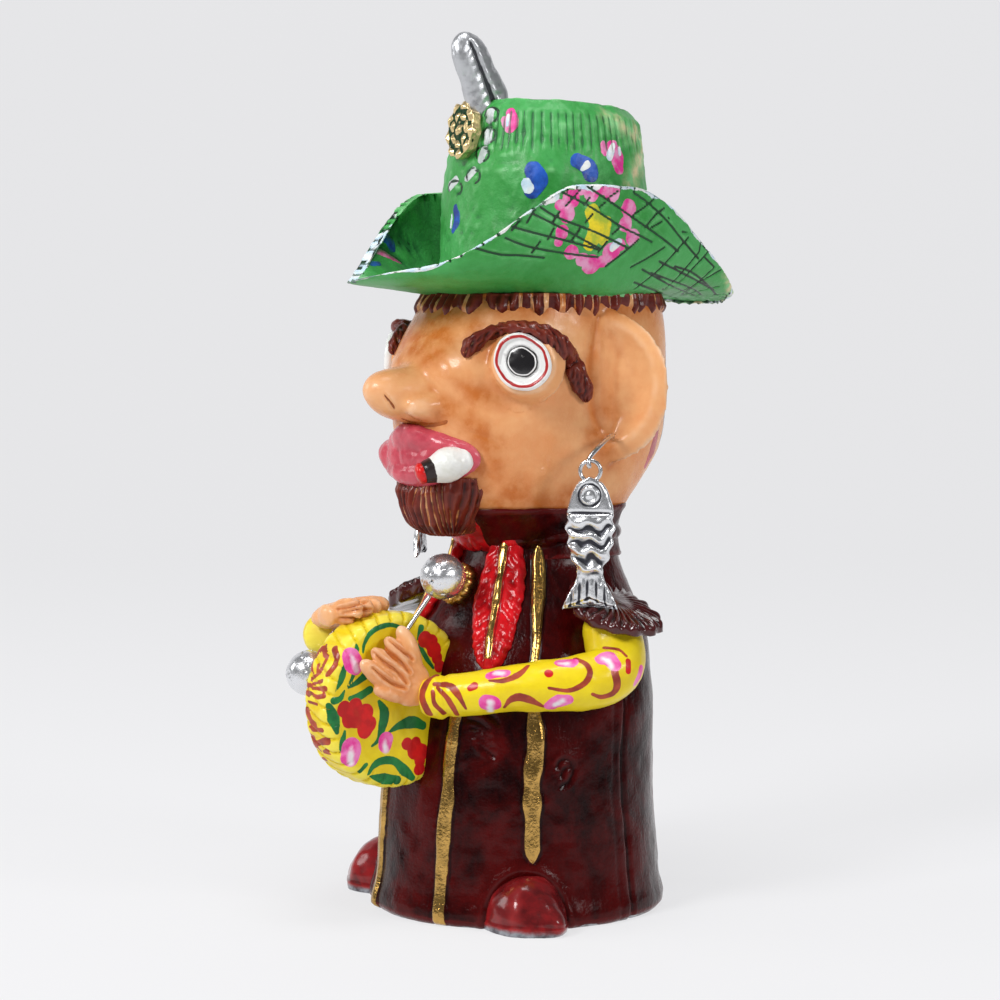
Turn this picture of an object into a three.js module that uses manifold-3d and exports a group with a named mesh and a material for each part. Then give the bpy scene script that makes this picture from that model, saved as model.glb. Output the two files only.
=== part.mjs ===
// A painted ceramic figurine of a drummer. Robe, scarf, drum, big head and wide-brimmed hat are one fired
// piece, with two wire drumsticks, and a fish hangs from a wire in each ear.
// Millimetres, +Z up. The origin is the centre of the robe's flat underside. The figure faces -Y and its
// left side is at +X.

import * as THREE from "three";
import { mergeVertices } from "three/addons/utils/BufferGeometryUtils.js";
import Module from "manifold-3d";

// Clearance between pieces that fit together, and how far joined forms sink into each other
const FIT_GAP = 0.3;
const SINK = 2;

// Robe
const ROBE_HEIGHT = 133;
const ROBE_RADIUS = 50.4;
const ROBE_LEAN = 9; // the neck stands this far behind the middle of the base
const ROBE_PROFILE = [
  // share of the robe's height, share of its base radius
  [0, 1],
  [0.15, 0.965],
  [0.35, 0.925],
  [0.53, 0.891],
  [0.675, 0.836],
  [0.79, 0.705],
  [0.89, 0.565],
  [1, 0.5],
];
const STRIP_WIDTH = 6.5;
const STRIP_RISE = 1.3;
const STRIP_ANGLES = [22, 59]; // degrees from the front, on both sides
const STRIP_TOPS = [0.62, 0.96]; // shares of the robe's height

// Feet
const FOOT_ANGLE = 56; // degrees from the front
const FOOT_LENGTH = 30;
const FOOT_WIDTH = 30;
const FOOT_HEIGHT = 20;
const FOOT_LIFT = 3; // the widest part of the shoe is this far above the ground
const TOE_REACH = 12; // beyond the robe's base radius

// Scarf
const COLLAR_ROLL = 4.2;
const TAIL_ANGLE = 33;
const TAIL_LENGTH = 44;
const TAIL_WIDTH = 17;
const TAIL_THICKNESS = 2.6;
const MEDALLION_RADIUS = 7.8;
const MEDALLION_THICKNESS = 3;
const MEDALLION_DROP = 17; // below the collar

// Arms and hands
const SHOULDER_DROP = 35; // drops are measured down from the collar
const ELBOW_DROP = 48;
const SLEEVE_RADIUS = 9.3;
const WRIST_RADIUS = 6.2;
const HAND_LENGTH = 24;
const HAND_WIDTH = 18;
const HAND_THICKNESS = 6.4;
const FINGER_COUNT = 4;
const CAP_REACH = 62;
const CAP_HALF_DEPTH = 14;
const CAP_DROP = 21;
const CAP_SLOPE = 11.5;
const CAP_THICKNESS = 5;
const CAP_FORWARD = 4;
const CAP_SAG = 2.5;
const CAP_TEETH = 13;

// Drum, lying on its edge against the robe with its axis across the figure
const DRUM_RADIUS = 29.7;
const DRUM_THICKNESS = 15;
const DRUM_DROP = 58;
const DRUM_REACH = 55; // centre, in front of the robe's axis
const DRUM_EDGE = 3.5;

// Drumsticks
const BALL_RADIUS = 7.7;
const ROD_RADIUS = 0.8;
const ROD_SOCKET = 3;

// Head
const HEAD_HEIGHT = 88;
const HEAD_BACK = 10; // the head's axis stands this far behind the base's centre
const HEAD_SQUARENESS = 2.3;
const HEAD_SECTIONS = [
  // share of the head's height, half width, reach to the front, reach to the back
  [-0.08, 25, 29, 23.5],
  [0.055, 30, 42, 25],
  [0.135, 32.5, 48, 31.5],
  [0.26, 34.5, 53, 41],
  [0.35, 35, 55, 45],
  [0.6, 36, 57, 45],
  [0.74, 35.5, 49, 44.5],
  [0.86, 34.5, 42, 43],
  [0.95, 33, 36, 36],
  [1, 30, 31, 32],
];

// Face
const EYE_RADIUS = 10.3;
const EYE_OUT = 36.6;
const EYE_FORWARD = 39;
const EYE_LEVEL = 0.631; // levels are shares of the head's height, up from the collar
const EYE_TURN = 45;
const PUPIL_RADIUS = 5.5;
const RIM_WIDTH = 2.2;
const NOSE_REACH = 76;
const NOSE_LEVEL = 0.511;
const NOSE_HALF_WIDTH = 17;
const LIP_HALF_WIDTH = 26.5;
const LIP_REACH = 57.5;
const LIP_CURVE = 18; // the corners stand this far behind the middle
const LIP_LEVEL = 0.261;
const LIP_RADIUS = 4.4;
const LIP_OPENING = 5.6;
const ROLL_RADIUS = 4.7;
const ROLL_LENGTH = 20;
const BEARD_FORWARD = 38;
const BEARD_LOCKS = 13;
const BEARD_HEIGHT = 19;
const BROW_RADIUS = 3.1;
const EAR_BOTTOM_LEVEL = 0.224;
const EAR_TOP_LEVEL = 0.83;
const EAR_DEPTH = 21.5;
const EAR_FLARE = 36; // degrees from straight back
const EAR_THICKNESS = 5;

// Hat
const HAT_BACK = 10.8;
const CROWN_BASE_LEVEL = 0.875;
const CROWN_HEIGHT = 67;
const CROWN_SECTIONS = [
  // share of the crown's height, half width, reach to the front, reach to the back
  [0, 35.5, 36.5, 36],
  [0.08, 35.5, 36, 35.5],
  [0.6, 34.5, 33, 35],
  [0.92, 31.5, 28.5, 34],
  [0.97, 30.5, 27, 32.5],
  [1, 26, 22, 28],
];
const BRIM_FRONT = 73;
const BRIM_BACK = 76.5;
const BRIM_SIDE = 46;
const BRIM_FRONT_RISE = 9; // edge heights are measured from where the brim leaves the crown
const BRIM_SIDE_RISE = 35;
const BRIM_BACK_RISE = -3.5;
const BRIM_THICKNESS = 3;
const HAIR_TOP_LEVEL = 0.898;
const HAIR_LENGTH = 8;
const HAIR_LOCKS = 16;
const HAIR_DEPTH = 2;
const ROSETTE_RADIUS = 10;
const ROSETTE_THICKNESS = 4;
const ROSETTE_PETALS = 9;
const FEATHER_RISE = 23; // above the crown
const FEATHER_WIDTH = 17;
const FEATHER_THICKNESS = 8;

// Earrings
const WIRE_RADIUS = 0.8;
const LOOP_WIRE_RADIUS = 0.7;
const LOOP_RADIUS = 3.4;
const FISH_LENGTH = 44;
const FISH_WIDTH = 16;
const FISH_TAIL_WIDTH = 19;
const FISH_THICKNESS = 4.5;
const FISH_OUT = 49;
const FISH_FORWARD = 7;
const EAR_HOLE_RISE = 11.7; // above the ear's foot
const FISH_DROPS = { left: 15.4, right: 4.4 }; // from the ear's hole down to the fish's head

const EYE_HEIGHT = levelHeight(EYE_LEVEL);
const NOSE_HEIGHT = levelHeight(NOSE_LEVEL);
const LIP_HEIGHT = levelHeight(LIP_LEVEL);
const EAR_BOTTOM = levelHeight(EAR_BOTTOM_LEVEL);
const EAR_TOP = levelHeight(EAR_TOP_LEVEL);
const HAIR_TOP = levelHeight(HAIR_TOP_LEVEL);
const CROWN_BASE = levelHeight(CROWN_BASE_LEVEL);
const CROWN_TOP = CROWN_BASE + CROWN_HEIGHT;
const FEATHER_TOP = CROWN_TOP + FEATHER_RISE;
const EAR_HOLE = EAR_BOTTOM + EAR_HOLE_RISE;

const FRONT_VECTOR = new THREE.Vector3(0, -1, 0);
const UP_VECTOR = new THREE.Vector3(0, 0, 1);
const { clamp, degToRad, lerp, smoothstep } = THREE.MathUtils;

function levelHeight(level) {
  return ROBE_HEIGHT + level * HEAD_HEIGHT;
}

const wasm = await Module();
wasm.setup();

// Solids

// A closed geometry as a solid: shared vertices merged, empty triangles dropped and faces pointing out.
function toSolid(geometry) {
  const bare = geometry.clone();
  bare.deleteAttribute("normal");
  bare.deleteAttribute("uv");
  const merged = mergeVertices(bare, 1e-4);
  const position = merged.attributes.position;
  const triangles = [];
  let volume = 0;
  const [a, b, c] = [new THREE.Vector3(), new THREE.Vector3(), new THREE.Vector3()];
  for (let i = 0; i < merged.index.count; i += 3) {
    const corners = [0, 1, 2].map((k) => merged.index.getX(i + k));
    if (new Set(corners).size < 3) continue;
    triangles.push(...corners);
    a.fromBufferAttribute(position, corners[0]);
    b.fromBufferAttribute(position, corners[1]);
    c.fromBufferAttribute(position, corners[2]);
    volume += a.dot(b.cross(c));
  }
  if (volume < 0) triangles.reverse();
  return new wasm.Manifold(
    new wasm.Mesh({
      numProp: 3,
      vertProperties: position.array,
      triVerts: new Uint32Array(triangles),
    }),
  );
}

function toGeometry(solid) {
  const mesh = solid.getMesh();
  const geometry = new THREE.BufferGeometry();
  geometry.setAttribute("position", new THREE.BufferAttribute(mesh.vertProperties, 3));
  geometry.setIndex(new THREE.BufferAttribute(mesh.triVerts, 1));
  geometry.computeVertexNormals();
  return geometry;
}

// Moves every vertex of a geometry by a function that changes the vector it is given.
function shaped(geometry, change) {
  const position = geometry.attributes.position;
  const point = new THREE.Vector3();
  for (let i = 0; i < position.count; i += 1) {
    point.fromBufferAttribute(position, i);
    change(point);
    position.setXYZ(i, point.x, point.y, point.z);
  }
  return geometry;
}

// A body turned about +Z from rows of radius and height.
function turned(profile, sides) {
  const points = profile.map(([radius, height]) => new THREE.Vector2(radius, height));
  return new THREE.LatheGeometry(points, sides).rotateX(Math.PI / 2);
}

// True at every second of a round edge's points, counted from the front.
function isOdd(point, count) {
  return Math.round((Math.atan2(point.x, -point.y) / Math.PI) * count) % 2 !== 0;
}

function ellipsoid(centre, radii, columns = 12, rows = 8) {
  return new THREE.SphereGeometry(1, columns, rows)
    .rotateX(Math.PI / 2)
    .scale(radii[0], radii[1], radii[2])
    .translate(centre.x, centre.y, centre.z);
}

// A rod bent along a smooth curve. sizeAt gives its half width and half thickness at a share of its length.
// Its width lies along the part of the vector wide that is square to the curve.
function bent(points, sizeAt, { sides = 8, steps = 8, wide = UP_VECTOR } = {}) {
  const curve = new THREE.CatmullRomCurve3(points);
  const profile = [[0, 0]];
  for (let i = 0; i <= steps; i += 1) profile.push([1, i / steps]);
  profile.push([0, 1]);
  return shaped(turned(profile, sides), (p) => {
    const share = clamp(p.z, 0, 1);
    const [halfWide, halfThick] = sizeAt(share);
    const tangent = curve.getTangentAt(share);
    const thin = new THREE.Vector3().crossVectors(tangent, wide).normalize();
    const across = new THREE.Vector3().crossVectors(thin, tangent).normalize();
    const middle = curve.getPointAt(share);
    middle.addScaledVector(across, p.x * halfWide);
    p.copy(middle.addScaledVector(thin, p.y * halfThick));
  });
}

// A rounded end for a bent rod: full in the middle and drawn in over the last part at each end.
function roundEnds(share, part = 0.15, least = 0.45) {
  const nearest = Math.min(share, 1 - share) / part;
  return lerp(least, 1, Math.sqrt(1 - (1 - clamp(nearest, 0, 1)) ** 2));
}

// Values of a table's columns at a height share, by smooth steps between its rows.
function tableAt(rows, share) {
  const next = rows.findIndex((row) => row[0] > share);
  if (next === 0) return rows[0].slice(1);
  if (next < 0) return rows[rows.length - 1].slice(1);
  const [low, high] = [rows[next - 1], rows[next]];
  const t = (share - low[0]) / (high[0] - low[0]);
  return low.slice(1).map((value, k) => lerp(value, high[k + 1], t));
}

// Radius of an egg-shaped section at an angle from the front.
function sectionRadius([halfWidth, front, back], angle, squareness) {
  const reach = Math.cos(angle) > 0 ? front : back;
  const across = Math.abs(Math.sin(angle) / halfWidth) ** squareness;
  const along = Math.abs(Math.cos(angle) / reach) ** squareness;
  return (across + along) ** (-1 / squareness);
}

// A body whose egg-shaped sections follow a table. It stands on a given height, set back from the base's centre.
function sectioned(rows, { base, height, back, squareness, sides, shares }) {
  const bottom = shares[0];
  const top = shares[shares.length - 1];
  const profile = [[0, bottom], ...shares.map((share) => [1, share]), [0, top]];
  return shaped(turned(profile, sides), (p) => {
    const angle = Math.atan2(p.x, -p.y);
    const radius = Math.hypot(p.x, p.y) * sectionRadius(tableAt(rows, p.z), angle, squareness);
    p.set(radius * Math.sin(angle), back - radius * Math.cos(angle), base + p.z * height);
  });
}

// A point beside the robe's axis: degrees from the front, distance out, height.
function around(degrees, distance, height, back = 0) {
  const angle = degToRad(degrees);
  return new THREE.Vector3(distance * Math.sin(angle), back - distance * Math.cos(angle), height);
}

function sideName(side) {
  return side < 0 ? "right" : "left";
}

function outwards(degrees) {
  return around(degrees, 1, 0);
}

// Turns a geometry modelled along +Z so that +Z points along a direction, then moves it.
function aimed(geometry, direction, centre) {
  const turn = new THREE.Quaternion().setFromUnitVectors(UP_VECTOR, direction.clone().normalize());
  return geometry.applyQuaternion(turn).translate(centre.x, centre.y, centre.z);
}

// Robe and feet

function robeRadius(height) {
  return ROBE_RADIUS * tableAt(ROBE_PROFILE, clamp(height / ROBE_HEIGHT, 0, 1))[0];
}

function robeBack(height) {
  return ROBE_LEAN * smoothstep(height / ROBE_HEIGHT, 0.3, 1);
}

function onRobe(degrees, height, rise = 0) {
  return around(degrees, robeRadius(height) + rise, height, robeBack(height));
}

function robe() {
  const rows = 6;
  const profile = [[0, 0]];
  for (let i = 0; i <= rows; i += 1) profile.push([1, (ROBE_HEIGHT * i) / rows]);
  profile.push([0, ROBE_HEIGHT]);
  return shaped(turned(profile, 26), (p) => {
    p.x *= robeRadius(p.z);
    p.y = p.y * robeRadius(p.z) + robeBack(p.z);
  });
}

// A band that lies on the robe, its width and thickness given along its length.
function robeBand(degrees, low, high, sizeAt, steps) {
  const points = [];
  for (let i = 0; i <= steps; i += 1) points.push(onRobe(degrees, lerp(low, high, i / steps)));
  const wide = new THREE.Vector3().crossVectors(outwards(degrees), UP_VECTOR);
  return bent(points, sizeAt, { sides: 6, steps, wide });
}

function robeStrips(side) {
  return STRIP_ANGLES.map((degrees, i) =>
    robeBand(
      side * degrees,
      STRIP_RISE,
      STRIP_TOPS[i] * ROBE_HEIGHT,
      (share) => [lerp(0.55, 0.4, share) * STRIP_WIDTH, STRIP_RISE],
      4,
    ),
  );
}

function foot(side) {
  const centre = around(side * FOOT_ANGLE, ROBE_RADIUS + TOE_REACH - FOOT_LENGTH / 2, FOOT_LIFT);
  const radii = [FOOT_WIDTH / 2, FOOT_LENGTH / 2, FOOT_HEIGHT - FOOT_LIFT];
  const shoe = ellipsoid(new THREE.Vector3(), radii, 14, 6);
  return shoe.rotateZ(degToRad(side * FOOT_ANGLE)).translate(centre.x, centre.y, centre.z);
}

// Scarf

function collar() {
  const ring = new THREE.TorusGeometry(1, 0.2, 4, 18);
  const height = ROBE_HEIGHT - COLLAR_ROLL;
  return shaped(ring, (p) => {
    const angle = Math.atan2(p.x, -p.y);
    const out = (Math.hypot(p.x, p.y) - 1) / 0.2;
    const radius = robeRadius(height) + out * COLLAR_ROLL;
    const rise = (p.z / 0.2) * COLLAR_ROLL;
    p.set(radius * Math.sin(angle), robeBack(height) - radius * Math.cos(angle), height + rise);
  });
}

function knot() {
  const height = ROBE_HEIGHT - COLLAR_ROLL;
  return ellipsoid(onRobe(0, height, 1), [8, 5, 6], 10, 6);
}

function tail(side) {
  const high = ROBE_HEIGHT - COLLAR_ROLL;
  const leaf = (share) => 0.5 * TAIL_WIDTH * Math.sqrt(clamp(0.06 + 3.6 * share * (1.05 - share), 0, 1));
  return robeBand(side * TAIL_ANGLE, high - TAIL_LENGTH, high, (share) => [leaf(share), TAIL_THICKNESS], 5);
}

function medallion() {
  const height = ROBE_HEIGHT - MEDALLION_DROP;
  const disc = new THREE.CylinderGeometry(MEDALLION_RADIUS, MEDALLION_RADIUS, MEDALLION_THICKNESS + SINK, 14);
  disc.rotateX(Math.PI / 2);
  return aimed(disc, FRONT_VECTOR.clone().setZ(0.4), onRobe(0, height, MEDALLION_THICKNESS / 2));
}

// Drum and drumsticks

const drumCentre = new THREE.Vector3(0, -DRUM_REACH, ROBE_HEIGHT - DRUM_DROP);

function drum() {
  const half = DRUM_THICKNESS / 2;
  const profile = [[0, -half]];
  for (const [side, from] of [
    [-1, 0],
    [1, 1],
  ]) {
    for (let i = 0; i <= 2; i += 1) {
      const turn = (Math.PI / 2) * (from ? 1 - i / 2 : i / 2);
      const radius = DRUM_RADIUS - DRUM_EDGE * (1 - Math.sin(turn));
      profile.push([radius, side * (half - DRUM_EDGE * (1 - Math.cos(turn)))]);
    }
  }
  profile.push([0, half]);
  return turned(profile, 26).rotateY(Math.PI / 2).translate(drumCentre.x, drumCentre.y, drumCentre.z);
}

// Ball centre and the rod's other end, which a hand holds. The left ball is raised in front of the chest, and
// the right one hangs beside the drum's far face.
const sticks = {
  left: {
    ball: new THREE.Vector3(12.1, 14.5, 41.4).add(drumCentre),
    grip: new THREE.Vector3(8.6, 0.5, 22).add(drumCentre),
  },
  right: {
    ball: new THREE.Vector3(-16.6, -20.5, 8.5).add(drumCentre),
    grip: new THREE.Vector3(-13.8, -10.3, 25).add(drumCentre),
  },
};

// The rod's two ends: one stops short of the ball by the clearance, the other sits in the hand's socket.
function rodPoints({ ball, grip }) {
  const down = grip.clone().sub(ball).normalize();
  const top = ball.clone().addScaledVector(down, BALL_RADIUS + FIT_GAP);
  return [top, grip.clone().addScaledVector(down, ROD_SOCKET)];
}

function straightRod(from, to, radius, sides = 8) {
  const length = from.distanceTo(to);
  const rod = new THREE.CylinderGeometry(radius, radius, length, sides).rotateX(Math.PI / 2);
  return aimed(rod, to.clone().sub(from), from.clone().lerp(to, 0.5));
}

// Arms and hands

function sleeveSize(share) {
  const radius = lerp(SLEEVE_RADIUS, WRIST_RADIUS, smoothstep(share, 0.15, 1)) * roundEnds(share, 0.06, 0.7);
  return [radius, radius];
}

const wrists = {
  left: new THREE.Vector3(15.5, 3, 1.6).add(drumCentre),
  right: new THREE.Vector3(-20.7, -14, 24.4).add(drumCentre),
};

// The sleeve runs from under the shoulder cap round the elbow, and lies against the robe up to the wrist.
function sleeve(side, wrist) {
  const elbow = ROBE_HEIGHT - ELBOW_DROP;
  const elbowOut = robeRadius(elbow) + SLEEVE_RADIUS + 3;
  const middle = (elbow + wrist.z) / 2;
  const points = [
    onRobe(side * 92, ROBE_HEIGHT - SHOULDER_DROP + 4, SLEEVE_RADIUS),
    around(side * 98, elbowOut, elbow + 2),
    around(side * 78, elbowOut - 2, elbow - 2),
    around(side * 52, lerp(robeRadius(middle), Math.hypot(wrist.x, wrist.y), 0.55), middle),
    wrist,
  ];
  return bent(points, sleeveSize, { sides: 8, steps: 9 });
}

// A hand that reaches from the wrist: palm, fingers side by side, and thumb. out is the back of the hand.
function hand(wrist, reach, out, thumbSide) {
  const along = reach.clone().normalize();
  const across = new THREE.Vector3().crossVectors(out, along).normalize();
  const normal = new THREE.Vector3().crossVectors(along, across);
  const basis = new THREE.Matrix4().makeBasis(across, along, normal).setPosition(wrist);
  const half = HAND_THICKNESS / 2;
  const pieces = [];
  const palmCentre = new THREE.Vector3(0, 0.33 * HAND_LENGTH, 0);
  pieces.push(ellipsoid(palmCentre, [0.44 * HAND_WIDTH, 0.4 * HAND_LENGTH, half], 8, 6));
  for (let i = 0; i < FINGER_COUNT; i += 1) {
    const place = i / (FINGER_COUNT - 1) - 0.5;
    const finger = ellipsoid(
      new THREE.Vector3(0, 0.3 * HAND_LENGTH, 0),
      [(0.62 * HAND_WIDTH) / FINGER_COUNT, 0.36 * HAND_LENGTH, half],
      6,
      4,
    );
    finger.rotateZ(-0.5 * place).translate(0.62 * HAND_WIDTH * place, 0.34 * HAND_LENGTH, 0);
    pieces.push(finger);
  }
  const thumb = ellipsoid(new THREE.Vector3(), [2.2, 0.24 * HAND_LENGTH, half * 0.9], 6, 4);
  thumb.rotateZ(-0.6 * thumbSide).translate(0.46 * HAND_WIDTH * thumbSide, 0.36 * HAND_LENGTH, 0);
  pieces.push(thumb);
  return pieces.map((piece) => piece.applyMatrix4(basis));
}

// The cap is a flat leaf that slopes down and out from the robe over the sleeve's top, with a toothed edge.
function shoulderCap(side) {
  const height = ROBE_HEIGHT - CAP_DROP;
  const inner = robeRadius(height) - SINK;
  const halfReach = (CAP_REACH - inner) / 2;
  const plate = turned(
    [
      [0, 0],
      [1, 0],
      [1, 1],
      [0.5, 1],
      [0, 1],
    ],
    CAP_TEETH * 2,
  );
  return shaped(plate, (p) => {
    const tooth = Math.hypot(p.x, p.y) > 0.9 && isOdd(p, CAP_TEETH) ? 0.93 : 1;
    const x = inner + halfReach * (1 + p.x * tooth);
    const y = robeBack(height) - CAP_FORWARD + CAP_HALF_DEPTH * p.y * tooth;
    const fall = CAP_SLOPE * ((x - inner) / (2 * halfReach)) ** 1.3 + CAP_SAG * p.y * p.y;
    p.set(side * x, y, height - fall - CAP_THICKNESS * (1 - p.z));
  });
}

// Head and face

function headPoint(degrees, height, rise = 0) {
  const sizes = tableAt(HEAD_SECTIONS, (height - ROBE_HEIGHT) / HEAD_HEIGHT);
  return around(degrees, sectionRadius(sizes, degToRad(degrees), HEAD_SQUARENESS) + rise, height, HEAD_BACK);
}

// A point given by its distance to the side and to the front of the head's axis.
function atHead(out, forward, height) {
  return new THREE.Vector3(out, HEAD_BACK - forward, height);
}

function headBody() {
  const shares = [-0.08, 0.055, 0.135, 0.26, 0.4, 0.6, 0.76, 0.92];
  return sectioned(HEAD_SECTIONS, {
    base: ROBE_HEIGHT,
    height: HEAD_HEIGHT,
    back: HEAD_BACK,
    squareness: HEAD_SQUARENESS,
    sides: 24,
    shares,
  });
}

function eye(side) {
  const look = outwards(side * EYE_TURN).setZ(0.08);
  const socket = 12;
  const profile = [
    [0, -socket],
    [EYE_RADIUS + 3.5, -socket],
    [EYE_RADIUS, -0.4],
    [EYE_RADIUS - 0.6, 0.4],
    [EYE_RADIUS - RIM_WIDTH, -1],
    [PUPIL_RADIUS, -1],
    [PUPIL_RADIUS * 0.8, 0.2],
    [0, 0.9],
  ];
  return aimed(turned(profile, 14), look, atHead(side * EYE_OUT, EYE_FORWARD, EYE_HEIGHT));
}

// The brow rises from the nose, arches over the eye and comes down behind it.
function brow(side) {
  const points = [
    headPoint(side * 13, EYE_HEIGHT + 5, 1),
    headPoint(side * 22, EYE_HEIGHT + 10, 2),
    headPoint(side * 36, EYE_HEIGHT + 12, 2),
    headPoint(side * 52, EYE_HEIGHT + 10.5, 2.5),
    headPoint(side * 66, EYE_HEIGHT + 5, 2.5),
    headPoint(side * 76, EYE_HEIGHT - 4, 1.5),
    headPoint(side * 82, EYE_HEIGHT - 12, 0.5),
  ];
  const size = (share) => Array(2).fill(BROW_RADIUS * roundEnds(share, 0.25, 0.3));
  return bent(points, size, { sides: 6, steps: 8, wide: FRONT_VECTOR });
}

function nose() {
  const points = [
    atHead(0, NOSE_REACH - 34, NOSE_HEIGHT - 1),
    atHead(0, NOSE_REACH - 18, NOSE_HEIGHT - 0.5),
    atHead(0, NOSE_REACH - 7, NOSE_HEIGHT + 0.3),
    atHead(0, NOSE_REACH, NOSE_HEIGHT),
  ];
  const size = (share) => {
    const taper = Math.sqrt(1 - clamp((share - 0.72) / 0.28, 0, 1) ** 2.2 * 0.9);
    return [lerp(NOSE_HALF_WIDTH, 6, share ** 0.8) * taper, lerp(10, 6.5, share) * taper];
  };
  return bent(points, size, { sides: 10, steps: 8, wide: new THREE.Vector3(1, 0, 0) });
}

function nostril(side) {
  const centre = atHead(side * 0.62 * NOSE_HALF_WIDTH, NOSE_REACH - 20, NOSE_HEIGHT - 4);
  return ellipsoid(centre, [5.5, 8, 5], 8, 6);
}

function mouth() {
  const muzzle = ellipsoid(
    atHead(0, LIP_REACH - 20, LIP_HEIGHT - 0.5),
    [LIP_HALF_WIDTH - 1, 17.5, LIP_OPENING + 3],
    12,
    6,
  );
  const lips = shaped(new THREE.TorusGeometry(1, 0.2, 5, 18), (p) => {
    const angle = Math.atan2(p.y, p.x);
    const out = (Math.hypot(p.x, p.y) - 1) / 0.2;
    const corner = Math.abs(Math.cos(angle));
    const radius = lerp(LIP_RADIUS, 0.6 * LIP_RADIUS, corner ** 4);
    const x = (LIP_HALF_WIDTH - LIP_RADIUS) * Math.cos(angle) + out * radius * Math.cos(angle);
    const z = LIP_HEIGHT + LIP_OPENING * Math.sin(angle) + out * radius * Math.sin(angle);
    const bow = Math.sqrt(1 - Math.min(1, (x / (LIP_HALF_WIDTH + 2)) ** 2));
    const forward = LIP_REACH - LIP_RADIUS - LIP_CURVE * (1 - bow) + (p.z / 0.2) * radius;
    p.copy(atHead(x, forward, z));
  });
  return [muzzle, lips];
}

function smokingRoll() {
  const from = atHead(22.5, LIP_REACH - 15, LIP_HEIGHT);
  const to = atHead(16, LIP_REACH + 2.5, LIP_HEIGHT - 5);
  return straightRod(from, from.clone().add(to.sub(from).setLength(ROLL_LENGTH)), ROLL_RADIUS, 10);
}

function beard() {
  const centre = HEAD_BACK - BEARD_FORWARD;
  const rows = [
    [0, 10, 12, 8],
    [0.2, 16, 15.5, 10],
    [0.65, 20.5, 17.5, 14],
    [1, 20, 15, 14],
  ];
  const block = sectioned(rows, {
    base: ROBE_HEIGHT - 2.5,
    height: BEARD_HEIGHT,
    back: centre,
    squareness: 2.4,
    sides: BEARD_LOCKS * 2,
    shares: [0, 0.2, 0.65, 1],
  });
  return shaped(block, (p) => {
    const angle = Math.atan2(p.x, centre - p.y);
    const lock = 1 - 0.045 * (1 + Math.cos(angle * BEARD_LOCKS));
    p.x *= lock;
    p.y = centre + (p.y - centre) * lock;
  });
}

// The ear is a flat oval that stands out behind the cheek, hollowed towards the front inside its rim.
function ear(side) {
  const halfHeight = (EAR_TOP - EAR_BOTTOM) / 2;
  const root = headPoint(90, (EAR_TOP + EAR_BOTTOM) / 2, -2.5);
  const radii = [EAR_THICKNESS / 2 + 0.5, EAR_DEPTH + 1.5, halfHeight];
  const outline = ellipsoid(new THREE.Vector3(), radii, 12, 7);
  const hollow = ellipsoid(
    new THREE.Vector3(3.4, -2, 1),
    [3.9, EAR_DEPTH - 2, halfHeight - 5],
    10,
    6,
  );
  const cupped = (geometry) =>
    shaped(geometry, (p) => {
      p.x += 0.012 * p.y * p.y * Math.sign(p.y);
    })
      .rotateZ(-degToRad(EAR_FLARE))
      .translate(root.x, root.y, root.z);
  const mirror = new THREE.Matrix4().makeScale(side, 1, 1);
  const solid = toSolid(cupped(outline).applyMatrix4(mirror));
  return solid.subtract(toSolid(cupped(hollow).applyMatrix4(mirror)));
}

// A fringe of locks all round the head, under the hat.
function hair() {
  const low = (HAIR_TOP - HAIR_LENGTH - ROBE_HEIGHT) / HEAD_HEIGHT;
  const high = (HAIR_TOP - ROBE_HEIGHT) / HEAD_HEIGHT;
  const band = sectioned(HEAD_SECTIONS, {
    base: ROBE_HEIGHT,
    height: HEAD_HEIGHT,
    back: HEAD_BACK,
    squareness: HEAD_SQUARENESS,
    sides: HAIR_LOCKS * 2,
    shares: [low, high],
  });
  return shaped(band, (p) => {
    const lock = isOdd({ x: p.x, y: p.y - HEAD_BACK }, HAIR_LOCKS) ? 0.55 : 1;
    const share = 1 + (HAIR_DEPTH * lock) / Math.hypot(p.x, p.y - HEAD_BACK);
    p.x *= share;
    p.y = HEAD_BACK + (p.y - HEAD_BACK) * share;
  });
}

// Hat

const hatSizes = {
  base: CROWN_BASE,
  height: CROWN_HEIGHT,
  back: HAT_BACK,
  squareness: 2.15,
};

function crown() {
  return sectioned(CROWN_SECTIONS, { ...hatSizes, sides: 22, shares: [0, 0.1, 0.6, 0.92, 1] });
}

function crownPoint(degrees, height, rise = 0) {
  const sizes = tableAt(CROWN_SECTIONS, (height - CROWN_BASE) / CROWN_HEIGHT);
  const radius = sectionRadius(sizes, degToRad(degrees), hatSizes.squareness);
  return around(degrees, radius + rise, height, HAT_BACK);
}

// How far the brim's edge rises above the crown's foot, at an angle from the front.
function brimRise(angle) {
  const quarters = (Math.abs(angle) / Math.PI) * 2;
  if (quarters < 1) return lerp(BRIM_FRONT_RISE, BRIM_SIDE_RISE, smoothstep(quarters, 0.18, 0.75));
  return lerp(BRIM_SIDE_RISE, BRIM_BACK_RISE, smoothstep(quarters - 1, 0, 0.95));
}

// A point of the brim's middle surface: angle from the front, and 0 at the crown to 1 at the edge.
function brimPoint(angle, share) {
  const [halfWidth, front, back] = CROWN_SECTIONS[0].slice(1);
  const inner = sectionRadius([halfWidth, front, back], angle, 2);
  const outer = sectionRadius([BRIM_SIDE, BRIM_FRONT, BRIM_BACK], angle, 2);
  const spread = share < 0 ? share : 1 - (1 - share) ** 2;
  const radius = share < 0 ? inner + share * 10 : lerp(inner, outer, spread);
  const height = CROWN_BASE + 2 + brimRise(angle) * Math.max(0, share) ** 1.4;
  return new THREE.Vector3(radius * Math.sin(angle), HAT_BACK - radius * Math.cos(angle), height);
}

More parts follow.
